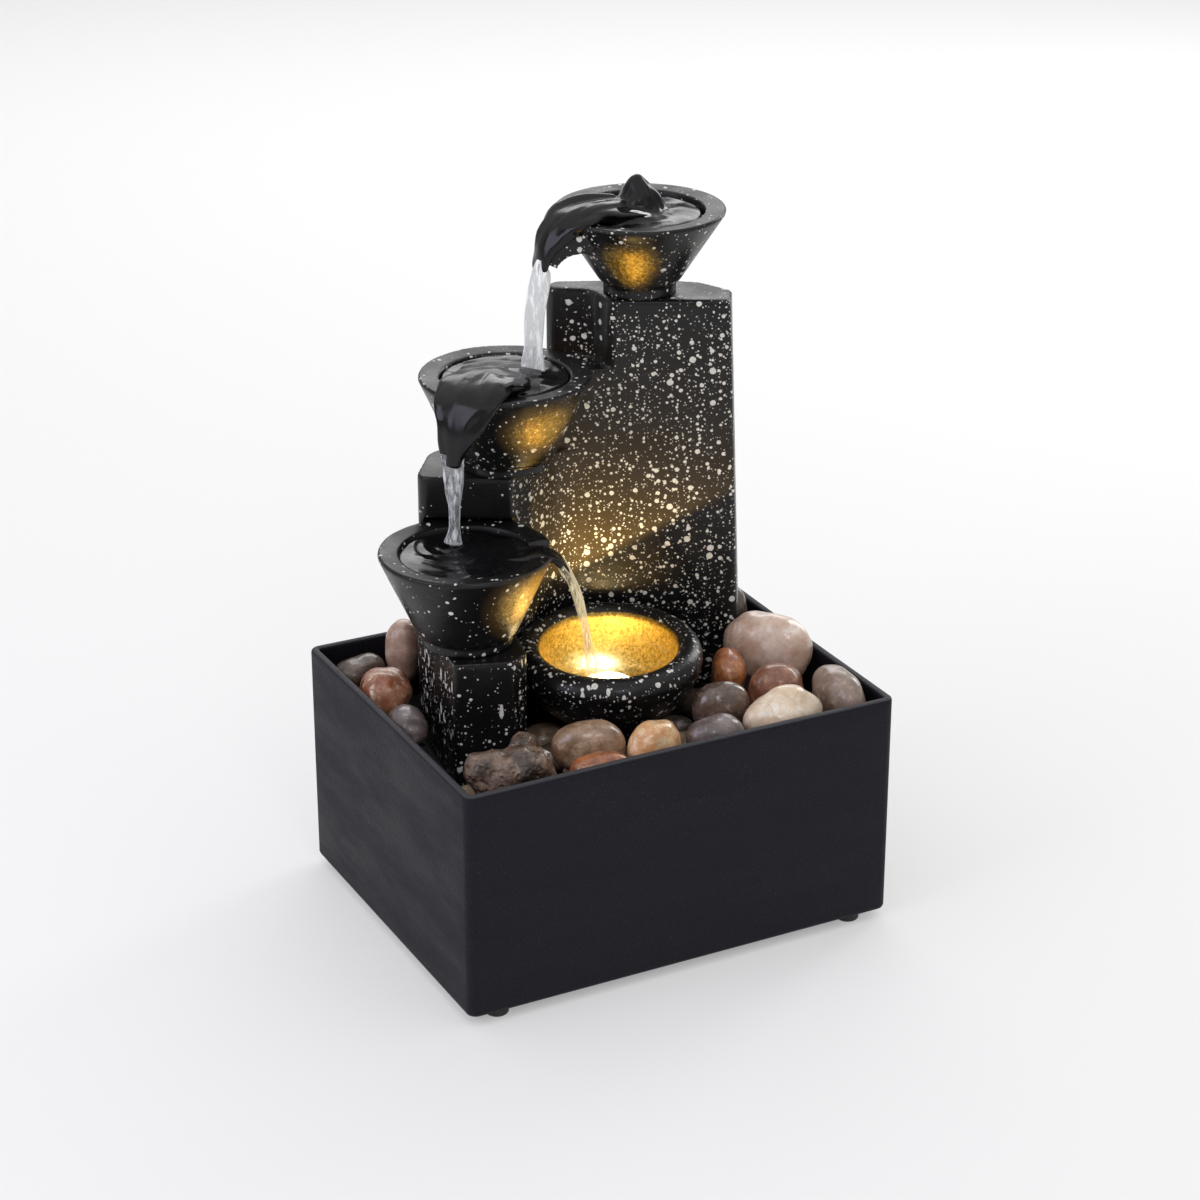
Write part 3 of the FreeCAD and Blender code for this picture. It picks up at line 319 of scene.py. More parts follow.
def resin_material(name):
    """Glossy black resin, cream specks, gold leaf and the lamp's yellow light painted on as
    emission, by attribute.
    """
    m = Nodes(name)
    density = m.attribute("specks")
    bent = m.warped(1.1, 0.28)
    dots = m.most([m.spots(3.8, 1.4, 0.58, bent, density), m.spots(2.0, 0.8, 0.75, bent, density),
                   m.spots(1.2, 0.44, 0.9, bent, density)])
    streak_space = m.mapped(m.warped(2.0, 0.4), (1.0, 1.0, 0.3), (0.35, 0.2, 0))
    dashes = m.spots(2.6, 0.95, 0.7, streak_space, m.attribute("streaks"))
    paint = m.math("MAXIMUM", dots, dashes)
    leaf_noise = m.noise(1.7, 7.0, 0.85)
    wear = m.math("MULTIPLY_ADD", leaf_noise, 1.5)
    wear.node.inputs[2].default_value = -0.75
    leaf = m.ramp(m.math("ADD", m.attribute("gold"), wear), 0.3, 0.75)
    shade = m.mix(m.noise(9.0, 4.0), (0.003, 0.003, 0.0034, 1), (0.008, 0.0077, 0.0082, 1))
    cream = m.mix(m.noise(1.4, 2.0), (0.5, 0.48, 0.44, 1), (0.86, 0.84, 0.8, 1))
    shine = m.math("ADD", m.noise(1.3, 6.0, 0.85), m.math("MULTIPLY", m.attribute("gold"), 0.2))
    gold = m.mix(m.ramp(shine, 0.5, 0.95), (0.16, 0.085, 0.016, 1), (0.95, 0.72, 0.2, 1))
    colour = m.mix(paint, shade, cream)
    colour = m.mix(leaf, colour, gold)
    rough = m.blend(paint, m.ramp(m.noise(14.0, 4.0), 0.3, 0.7, 0.26, 0.4), 0.55)
    rough = m.blend(leaf, rough, m.ramp(leaf_noise, 0.3, 0.7, 0.34, 0.55))
    # painted light: emission that stands in for the lamp's light, brighter on the specks
    painted_glow = m.attribute("painted_glow")
    lit = m.mix(paint, (0.15, 0.083, 0.02, 1), (1.0, 0.8, 0.42, 1))
    m.set(Base_Color=colour, Metallic=leaf, Roughness=rough, Specular_IOR_Level=0.32,
          Emission_Color=lit, Emission_Strength=painted_glow)
    height = m.math("ADD", m.math("MULTIPLY", paint, 0.5), m.noise(1.6, 3.0))
    height = m.math("ADD", height, m.math("MULTIPLY", m.noise(2.2, 5.0, 0.7),
                                          m.math("MULTIPLY", leaf, 2.0)))
    m.bump(height, 0.08)
    return m.mat


def basin_material():
    m = Nodes("basin_plastic")
    grain = m.noise(0.85, 2.0, 0.6)
    marks = m.noise(16.0, 4.0, 0.6, m.mapped(m.mm, (0.35, 0.35, 1.3), (0.0, 0.6, 0.5)))
    colour = m.mix(marks, (0.004, 0.0039, 0.0062, 1), (0.0095, 0.0092, 0.0135, 1))
    fleck = m.ramp(m.noise(0.7, 1.0), 0.62, 0.78)
    colour = m.mix(fleck, colour, (0.022, 0.022, 0.026, 1))
    # painted highlight: the rim's top edge lighter
    colour = m.mix(m.ramp(m.attribute("rim"), 0.2, 0.9), colour, (0.05, 0.05, 0.055, 1))
    m.set(Base_Color=colour, Roughness=m.ramp(marks, 0.3, 0.7, 0.5, 0.64),
          Specular_IOR_Level=0.21, Specular_Tint=(0.86, 0.83, 1.0, 1))
    m.bump(grain, 0.3)
    return m.mat


def plain_material(name, colour, rough, metal=0.0, grain=0.6, depth=0.03, spread=0.25, **more):
    """Moulded or machined stuff: a little variation in shade and gloss, and a fine grain."""
    m = Nodes(name)
    dark = tuple(c * (1 - spread) for c in colour) + (1,)
    light = tuple(min(1.0, c * (1 + spread)) for c in colour) + (1,)
    m.set(Base_Color=m.mix(m.noise(6.0, 4.0), dark, light), Metallic=metal,
          Roughness=m.ramp(m.noise(3.0), 0.3, 0.7, rough * 0.85, rough * 1.15), **more)
    m.bump(m.noise(grain), depth)
    return m.mat


def stone_material(name, dark, mid, light, size=9.0, rough=0.4, veins=0.0, vein_colour=None,
                   pits=0.0, bands=0.0, speck=0.25, polish=0.6):
    m = Nodes(name)
    bent = m.warped(size, size * 0.35)
    broad = m.ramp(m.noise(size, 5.0, 0.6, bent), 0.32, 0.68)
    colour = m.mix(broad, (*dark, 1), (*mid, 1))
    colour = m.mix(m.ramp(m.noise(size * 0.55, 6.0, 0.65, bent), 0.48, 0.74), colour, (*light, 1))
    if bands:
        layered = m.noise(size * 0.5, 3.0, 0.5, m.mapped(bent, (0.25, 0.3, 2.4), (0.5, 0.3, 0)))
        colour = m.mix(m.ramp(layered, 0.5, 0.7, 0, bands), colour, (*dark, 1))
    if veins:
        edge = m.cells(size * 0.9, bent, "DISTANCE_TO_EDGE").outputs["Distance"]
        colour = m.mix(m.ramp(edge, 0.0, 0.07, veins, 0.0), colour, (*(vein_colour or dark), 1))
    fine = m.ramp(m.noise(0.8, 3.0, 0.7), 0.4, 0.75, 0, speck)
    colour = m.mix(fine, colour, (*(c * 0.45 for c in dark), 1))
    height = m.noise(1.2, 4.0, 0.6)
    depth = 0.06
    if pits:
        hole = m.ramp(m.cells(2.6, m.warped(1.5, 0.6)).outputs["Distance"], 0.15, 0.5)
        height = m.math("ADD", m.math("MULTIPLY", hole, 2.0), m.noise(1.6, 6.0, 0.75))
        depth = pits
    m.set(Base_Color=colour, Roughness=m.ramp(m.noise(2.5), 0.3, 0.7, rough * 0.8, rough * 1.2),
          Coat_Weight=polish, Coat_Roughness=0.12)
    m.bump(height, depth)
    return m.mat


def dark_water_material():
    m = Nodes("water_dark")
    m.set(Base_Color=m.mix(m.noise(6.0), (0.002, 0.002, 0.0025, 1), (0.006, 0.006, 0.007, 1)),
          Roughness=m.ramp(m.noise(9.0), 0.35, 0.65, 0.1, 0.26), IOR=1.33,
          Specular_IOR_Level=0.62)
    m.bump(m.noise(7.0, 2.0), 0.12)
    return m.mat


def clear_water_material(name, colour, thin, thick, painted_glow=0.0):
    """Falling water: clear, with a painted reflection that makes its edges lighter, brighter
    along streaks in its fall, and lamp light painted on as emission.
    """
    m = Nodes(name)
    lines = m.noise(1.7, 3.0, 0.6, m.mapped(m.mm, (1.0, 1.0, FALL_STRETCH)))
    # painted reflection: lighter where the surface is seen edge-on; streaks along the fall
    # lighter too
    edge = m.add("ShaderNodeLayerWeight").outputs["Facing"]
    painted_sheen_and_streaks = m.math("MAXIMUM", m.ramp(edge, 0.35, 0.8), m.ramp(lines, 0.42, 0.66))
    m.set(Base_Color=m.mix(painted_sheen_and_streaks, (*(c * 0.55 for c in colour), 1), (*colour, 1)), IOR=1.33,
          Roughness=0.07, Alpha=m.blend(painted_sheen_and_streaks, thin, thick), Coat_Weight=0.5,
          Emission_Color=(*colour, 1), Emission_Strength=painted_glow)
    m.bump(lines, 0.3)
    return m.mat


def lit_water_material():
    """The water over the light: clear at its edge, with a painted spot of lamp light in the
    middle and painted glints on its ripples, as emission.
    """
    m = Nodes("water_lit")
    painted_hot_spot = m.attribute("painted_hot_spot")
    ripple = m.noise(3.0, 3.0, 0.5, m.warped(5.0, 1.5))
    # painted glints: emission on the ripples' crests
    glint = m.ramp(ripple, 0.5, 0.72)
    alpha = m.math("ADD", m.math("MULTIPLY", painted_hot_spot, 0.9), m.math("MULTIPLY", glint, 0.25),
                   clamp=True)
    power = m.math("ADD", m.math("MULTIPLY", painted_hot_spot, 5.0), m.math("MULTIPLY", glint, 0.9))
    m.set(Base_Color=m.mix(painted_hot_spot, (0.9, 0.7, 0.35, 1), (1.0, 0.92, 0.7, 1)), Roughness=0.06,
          IOR=1.33, Alpha=alpha, Emission_Color=m.mix(painted_hot_spot, (1.0, 0.66, 0.18, 1),
                                                       (1.0, 0.87, 0.5, 1)),
          Emission_Strength=power)
    m.bump(ripple, 0.4)
    return m.mat


# ---- mesh helpers ---------------------------------------------------------------------
def new_object(name, mesh):
    obj = bpy.data.objects.new(name, mesh)
    bpy.context.collection.objects.link(obj)
    return obj


def from_bmesh(name, bm):
    mesh = bpy.data.meshes.new(name)
    bm.to_mesh(mesh)
    bm.free()
    return new_object(name, mesh)


def settle(obj):
    """Applies an object's modifiers to its mesh."""
    graph = bpy.context.evaluated_depsgraph_get()
    mesh = bpy.data.meshes.new_from_object(obj.evaluated_get(graph))
    mesh.name = obj.name
    obj.modifiers.clear()
    obj.data = mesh


def smooth_shade(obj):
    obj.data.polygons.foreach_set("use_smooth", [True] * len(obj.data.polygons))


def rounded(obj, voxel, rounds):
    """A closed shape, remeshed finely and smoothed so that its edges round off."""
    remesh = obj.modifiers.new("remesh", "REMESH")
    remesh.mode = "VOXEL"
    remesh.voxel_size = voxel * MM
    soften = obj.modifiers.new("soften", "SMOOTH")
    soften.factor = 0.5
    soften.iterations = rounds
    settle(obj)
    smooth_shade(obj)


def cast_copy(node, name, voxel, rounds):
    """A piece with a CAD node's shape and rounded edges, as a casting has."""
    bm = bmesh.new()
    bm.from_mesh(NODES[node].data)
    bmesh.ops.remove_doubles(bm, verts=bm.verts, dist=1e-6)
    obj = from_bmesh(name, bm)
    rounded(obj, voxel, rounds)
    return obj


def coordinates(mesh):
    values = np.empty(len(mesh.vertices) * 3)
    mesh.vertices.foreach_get("co", values)
    return values.reshape(-1, 3)


def normals(mesh):
    values = np.empty(len(mesh.vertices) * 3)
    mesh.vertices.foreach_get("normal", values)
    return values.reshape(-1, 3)


def put(mesh, points):
    mesh.vertices.foreach_set("co", points.ravel())
    mesh.update()


def mark(mesh, name, values):
    layer = mesh.attributes.new(name, "FLOAT", "POINT")
    layer.data.foreach_set("value", np.asarray(values, dtype=np.float32))


def ease(value, low, high):
    t = np.clip((value - low) / (high - low), 0.0, 1.0)
    return t * t * (3 - 2 * t)


def tower_space(mesh):
    """Vertex places and normals in the tower's frame: u, v, z in mm, and nu, nv, nz."""
    points = coordinates(mesh) / MM
    facing = normals(mesh)
    c, s = math.cos(-TOWER_TURN), math.sin(-TOWER_TURN)
    u, v = points[:, 0] * c - points[:, 1] * s, points[:, 0] * s + points[:, 1] * c
    nu, nv = facing[:, 0] * c - facing[:, 1] * s, facing[:, 0] * s + facing[:, 1] * c
    return u, v, points[:, 2], nu, nv, facing[:, 2]


def finish_piece(obj, material, body, slot_name, *nodes):
    obj.data.materials.clear()
    obj.data.materials.append(material)
    if nodes:
        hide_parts(*nodes)
    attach(obj, body)


# ---- basin ----------------------------------------------------------------------------
WALL = 3.2
WALL_LOW = 4.0             # underside of the floor, on its feet
FLOOR_T = 3.0
CORNER_R = 4.0
RIM_BOW = 0.9              # how far the front and back rims bow in at their middle


def outline(half_x, half_y, radius, z, bow, straight=18, corner=6):
    """One level loop of the basin; its walls bow in at the middle, front and back the most."""
    points = []
    corners = [(1, -1, -90), (1, 1, 0), (-1, 1, 90), (-1, -1, 180)]
    for i, (sx, sy, start) in enumerate(corners):
        cx, cy = sx * (half_x - radius), sy * (half_y - radius)
        arc = []
        for k in range(corner + 1):
            a = math.radians(start + 90.0 * k / corner)
            arc.append((cx + radius * math.cos(a), cy + radius * math.sin(a)))
        points += arc
        nx, ny, nstart = corners[(i + 1) % 4]
        a = math.radians(nstart)
        end = (nx * (half_x - radius) + radius * math.cos(a),
               ny * (half_y - radius) + radius * math.sin(a))
        for k in range(1, straight):
            t = k / straight
            points.append((arc[-1][0] + (end[0] - arc[-1][0]) * t,
                           arc[-1][1] + (end[1] - arc[-1][1]) * t))
    result = []
    for x, y in points:
        inward = bow * max(0.0, math.cos(math.pi * x / (2 * half_x))) ** 1.5
        side = bow * 0.35 * max(0.0, math.cos(math.pi * y / (2 * half_y))) ** 1.5
        if abs(y) > half_y - radius:
            y -= math.copysign(inward, y)
        if abs(x) > half_x - radius:
            x -= math.copysign(side, x)
        result.append((x * MM, y * MM, z * MM))
    return result


def make_basin(material):
    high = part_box("basin")[1]
    half_x, half_y, top = high.x / MM, high.y / MM, high.z / MM
    floor = WALL_LOW + FLOOR_T
    rows = [(1.6, WALL_LOW), (0.45, WALL_LOW + 0.35), (0, WALL_LOW + 1.4)]
    steps = 14
    rows += [(0, WALL_LOW + 2 + (top - 3.4 - WALL_LOW) * k / steps) for k in range(steps + 1)]
    rows += [(0.25, top - 0.55), (0.8, top - 0.12), (1.5, top), (WALL - 0.7, top - 0.05),
             (WALL - 0.15, top - 0.5), (WALL, top - 1.2)]
    rows += [(WALL, top - 2 + (floor + 2.5 - top) * k / steps) for k in range(steps + 1)]
    rows += [(WALL + 0.5, floor + 0.15), (WALL + 1.4, floor)]
    bm = bmesh.new()
    loops = []
    for inset, z in rows:
        share = max(0.0, (z - WALL_LOW) / (top - WALL_LOW)) ** 2
        radius = max(CORNER_R - inset, 1.2)
        ring = outline(half_x - inset, half_y - inset, radius, z, RIM_BOW * share)
        loops.append([bm.verts.new(p) for p in ring])
    for a, b in zip(loops, loops[1:]):
        for k in range(len(a)):
            n = (k + 1) % len(a)
            bm.faces.new((a[k], a[n], b[n], b[k]))
    bm.faces.new(list(reversed(loops[0])))
    bm.faces.new(loops[-1])
    bmesh.ops.recalc_face_normals(bm, faces=bm.faces)
    obj = from_bmesh("basin_shell", bm)
    smooth_shade(obj)
    height = coordinates(obj.data)[:, 2] / MM
    # the painted highlight along the rim's top edge
    mark(obj.data, "rim", ease(height, top - 0.9, top - 0.05))
    finish_piece(obj, material, "base", "basin_plastic", "basin")


# ---- tower and bowls ------------------------------------------------------------------
# The lowest bowl's lamp light on the tower is painted as emission, above a painted shadow line of
# that bowl's rim.
GLOW_EDGE = 124.5          # height of the glow's lower edge, at u = 0
GLOW_SLOPE = 0.55          # and its rise with u, right of GLOW_LEFT
GLOW_LEFT = -9
GLOW_FADE = 17.0
GLOW_SPOT = (-11.0, 133.0, 19.0)    # u, z and reach of its brightest place
LEAF_SPREAD = 1.25         # where a patch of gold leaf ends, in parts of its reach


def painted_glow_on(u, v, z, nv):
    """Painted lamp light from the lowest bowl, as emission on the tower: above a painted slanting
    shadow line of its rim.
    """
    spot_u, spot_z, reach = GLOW_SPOT
    facing = np.clip(-nv, 0, 1)
    edge = GLOW_EDGE + GLOW_SLOPE * np.maximum(u, GLOW_LEFT)
    above = ease(z - edge, -2.0, 4.0)
    fade = np.exp(-np.maximum(z - edge, 0) / GLOW_FADE)
    across = np.exp(-((u - 2.0) / 44.0) ** 2)
    near = np.exp(-np.hypot(u - spot_u, z - spot_z) / reach)
    front = v > 20.0
    return facing * above * (0.8 * fade * across + 1.1 * near) * front


COLUMN_EDGE_Z = 226.0      # over this height the column has fewer specks


def make_tower(material):
    obj = cast_copy("tower_body", "tower_casting", 0.9, 5)
    mesh = obj.data
    u, v, z, nu, nv, nz = tower_space(mesh)
    on_column = ease(u, -16.0, -9.0) * ease(v, 36.0, 38.5)
    face = ease(-nv, 0.55, 0.9) * on_column
    right = ease(nu, 0.5, 0.9) * ease(u, 44, 48)
    top = ease(nz, 0.6, 0.95)
    back = ease(nv, 0.3, 0.8)
    step = 1 - on_column
    slant = ease(nu, 0.25, 0.6) * ease(-nv, 0.15, 0.4) * ease(u, -37.0, -31.0)
    specks = 0.14 + 0.86 * face + 0.4 * right + 0.25 * top * on_column + 0.3 * back
    specks = np.where(z > COLUMN_EDGE_Z, np.minimum(specks, 0.45), specks)
    specks = np.maximum(specks * (1 - 0.55 * step * (1 - back)), 0.9 * slant)
    post = ease(-u, 24.0, 28.0) * ease(-v, -8.0, -4.0) * ease(-z, -117.5, -116.0)
    left = ease(-nu, 0.3, 0.8)
    specks = np.maximum(specks, post * (0.3 + 0.3 * left) * (1 - top))
    mark(mesh, "specks", np.clip(specks, 0, 1))
    mark(mesh, "streaks", post * (0.3 + 0.7 * left) * (1 - 0.8 * top))
    mark(mesh, "gold", np.zeros(len(u)))
    # the lamp's light painted on the column's face, as emission
    mark(mesh, "painted_glow", painted_glow_on(u, v, z, nv))
    finish_piece(obj, material, "tower", "resin", "tower_body")


def nicked(obj, centre, amount):
    """Small dents and waves in a cast rim."""
    mesh = obj.data
    points = coordinates(mesh)
    facing = normals(mesh)
    shift = np.array([noise.noise(Vector(p) * 90.0 + Vector(centre)) +
                      0.3 * noise.noise(Vector(p) * 300.0) for p in points])
    put(mesh, points + facing * (shift * amount * MM)[:, None])


def make_bowl(key, node, patch, patch_drop, patch_r, painted_glow, material):
    """A cone bowl. Its gold leaf lies at patch degrees round the axis, patch_drop mm under
    the rim, and reaches patch_r, in degrees and mm. The lamp light painted onto the leaf, as
    emission, is given just before material."""
    obj = cast_copy(node, node + "_casting", 0.55, 4)
    nicked(obj, (len(node), 3, 5), 0.1)
    mesh = obj.data
    bu, bv, rim = BOWLS[key]
    u, v, z, nu, nv, nz = tower_space(mesh)
    angle = np.degrees(np.arctan2(v - bv, u - bu))
    on_rim = ease(nz, 0.5, 0.85) * ease(z - rim, -4.0, -2.0)
    outside = 1 - on_rim
    apart = (angle - patch + 180) % 360 - 180
    reach = np.hypot(apart / patch_r[0], (z - rim + patch_drop) / patch_r[1])
    outer = ease(nu * (u - bu) + nv * (v - bv), 0.0, 4.0)
    leafed = np.clip(LEAF_SPREAD - reach, 0, 1) * outer * outside
    mark(mesh, "gold", leafed)
    mark(mesh, "specks", 0.06 + 0.3 * outside * (0.3 if key == "third" else 1.0))
    mark(mesh, "streaks", on_rim * 0.5)
    # the lamp's light painted onto the gold leaf, as emission
    mark(mesh, "painted_glow", leafed * painted_glow)
    finish_piece(obj, material, "tower", "resin_gilt", node)


LIT_TILT = 2.4             # the lit bowl's rim rises from front to back, by 1.8 times this


def make_lit_bowl(material):
    obj = cast_copy("bowl_lit", "bowl_lit_casting", 0.55, 4)
    nicked(obj, (9, 3, 5), 0.1)
    mesh = obj.data
    bu, bv, rim = BOWLS["lit"]
    u, v, z, _, _, nz = tower_space(mesh)
    r = np.hypot(u - bu, v - bv)
    inward = (1 - ease(r, 26.2, 28.0)) * ease(z, rim - 21.5, rim - 19.5)
    mark(mesh, "gold", 1.25 * inward)
    mark(mesh, "specks", 0.35 * (1 - inward))
    mark(mesh, "streaks", (1 - inward) * ease(nz, -0.1, 0.4))
    points = coordinates(mesh)
    points[:, 2] += LIT_TILT * MM * np.clip((v - bv) / 36.0 + 0.8, 0, 1.8) * ease(z, 80, rim)
    put(mesh, points)
    mark(mesh, "painted_glow", np.zeros(len(u)))
    finish_piece(obj, material, "tower", "resin_lit", "bowl_lit")


# ---- water ----------------------------------------------------------------------------
POOL_DEPTH = 4.0


def pool(name, key, radius, drop, wave, seed, ring=0.0, hub=(0.0, 0.0)):
    """A disc of water in a bowl, drop mm under its rim, with waves of about wave mm and rings
    of ring mm round hub, where a stream lands."""
    bu, bv, rim = BOWLS[key]
    bm = bmesh.new()
    rings, turns = 34, 96
    loops = []
    hu, hv = hub
    for i in range(1, rings + 1):
        r = radius * i / rings
        loop = []
        for k in range(turns):
            a = 2 * math.pi * k / turns
            x, y = r * math.cos(a), r * math.sin(a)
            away = math.hypot(x - hu, y - hv)
            h = wave * noise.noise(Vector((x * 0.06, y * 0.06, seed)))
            h += 0.12 * wave * noise.noise(Vector((x * 0.16, y * 0.16, seed + 7)))
            h += ring * math.cos(away * 1.15) * math.exp(-away / 9.0)
            h *= 1 - 0.75 * (i / rings) ** 6
            loop.append(bm.verts.new(place(bu + x, bv + y, rim - drop + h)))
        loops.append(loop)
    centre = bm.verts.new(place(bu, bv, rim - drop + ring * 0.3))
    for k in range(turns):
        bm.faces.new((centre, loops[0][k], loops[0][(k + 1) % turns]))
    for a, b in zip(loops, loops[1:]):
        for k in range(turns):
            n = (k + 1) % turns
            bm.faces.new((a[k], b[k], b[n], a[n]))
    obj = from_bmesh(name, bm)
    smooth_shade(obj)
    return obj


def stream(name, path, widths, thicks, across, seed=0.0, ripple=0.12, turns=20, steps=7):
    """A solid strand of water along path; across is the direction of its width."""
    points = [Vector(p) for p in path]
    count = len(points)
    rows = []
    for i in range(count - 1):
        p0, p1 = points[max(i - 1, 0)], points[i]
        p2, p3 = points[i + 1], points[min(i + 2, count - 1)]
        for k in range(steps + (i == count - 2)):
            t = k / steps
            spot = 0.5 * ((2 * p1) + (p2 - p0) * t + (2 * p0 - 5 * p1 + 4 * p2 - p3) * t * t
                          + (3 * p1 - p0 - 3 * p2 + p3) * t ** 3)
            rows.append((spot, widths[i] + (widths[i + 1] - widths[i]) * t,
                         thicks[i] + (thicks[i + 1] - thicks[i]) * t))
    bm = bmesh.new()
    loops = []
    for i, (spot, width, thick) in enumerate(rows):
        ahead = rows[min(i + 1, len(rows) - 1)][0] - rows[max(i - 1, 0)][0]
        side = (across - ahead.normalized() * across.dot(ahead.normalized())).normalized()
        out = ahead.cross(side).normalized()
        loop = []
        for k in range(turns):
            a = 2 * math.pi * k / turns
            wobble = 1 + ripple * noise.noise(Vector((math.cos(a) * 1.4, math.sin(a) * 1.4,
                                                      i * 0.13 + seed)))
            wobble += ripple * 0.9 * noise.noise(Vector((math.cos(a) * 3, math.sin(a) * 3, seed)))
            loop.append(bm.verts.new(spot + side * (0.5 * width * wobble * MM * math.cos(a))
                                     + out * (0.5 * thick * wobble * MM * math.sin(a))))
        loops.append(loop)
    for a, b in zip(loops, loops[1:]):
        for k in range(turns):
            n = (k + 1) % turns
            bm.faces.new((a[k], a[n], b[n], b[k]))
    bm.faces.new(loops[0])
    bm.faces.new(list(reversed(loops[-1])))
    bmesh.ops.recalc_face_normals(bm, faces=bm.faces)
    obj = from_bmesh(name, bm)
    smooth_shade(obj)
    return obj


def dome(name, key, radius, height, lean, seed):
    """A heave or swell of water in a bowl: a lumpy peak that leans by lean."""
    bu, bv, rim = BOWLS[key]
    bm = bmesh.new()
    bmesh.ops.create_icosphere(bm, subdivisions=5, radius=1.0)
    for vert in bm.verts:
        d = vert.co.copy()
        lump = 1 + 0.2 * noise.noise(d * 1.6 + Vector((seed, 0, 0)))
        lump += 0.1 * noise.noise(d * 3.6 + Vector((0, seed, 0)))
        peak = max(d.z, 0.0)
        spread = radius * (1 - 0.42 * peak ** 1.3) * lump
        z = rim - 4.5 + height * (peak ** 1.15) * (0.92 + 0.08 * lump) + 4.0 * min(d.z, 0.0)
        vert.co = place(bu + d.x * spread + lean[0] * peak, bv + d.y * spread + lean[1] * peak, z)
    obj = from_bmesh(name, bm)
    smooth_shade(obj)
    return obj


def radial(key, angle, rows):
    """Points out from a bowl's axis along a spout: (distance, height under the rim)."""
    return strand(key, [(angle, s, drop) for s, drop in rows])


def strand(key, rows):
    """Points round a bowl: (direction, distance from the axis, height under the rim)."""
    bu, bv, rim = BOWLS[key]
    return [place(bu + s * math.cos(math.radians(a)), bv + s * math.sin(math.radians(a)),
                  rim - drop) for a, s, drop in rows]


def sideways(angle):
    """The level direction across a stream that leaves its bowl at angle."""
    a = math.radians(angle + 90) + TOWER_TURN
    return Vector((math.cos(a), math.sin(a), 0))


def merged(name, pieces, voxel, rounds, material):
    """Several closed pieces of water, joined into one smooth skin."""
    bm = bmesh.new()
    for piece in pieces:
        bm.from_mesh(piece.data)
        bpy.data.objects.remove(piece)
    obj = from_bmesh(name, bm)
    rounded(obj, voxel, rounds)
    finish_water(obj, material)


def thicken(obj, depth):
    solid = obj.modifiers.new("solid", "SOLIDIFY")
    solid.thickness = depth * MM
    solid.offset = -1
    settle(obj)
    return obj


def finish_water(obj, material):
    obj.data.materials.append(material)
    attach(obj, "tower")


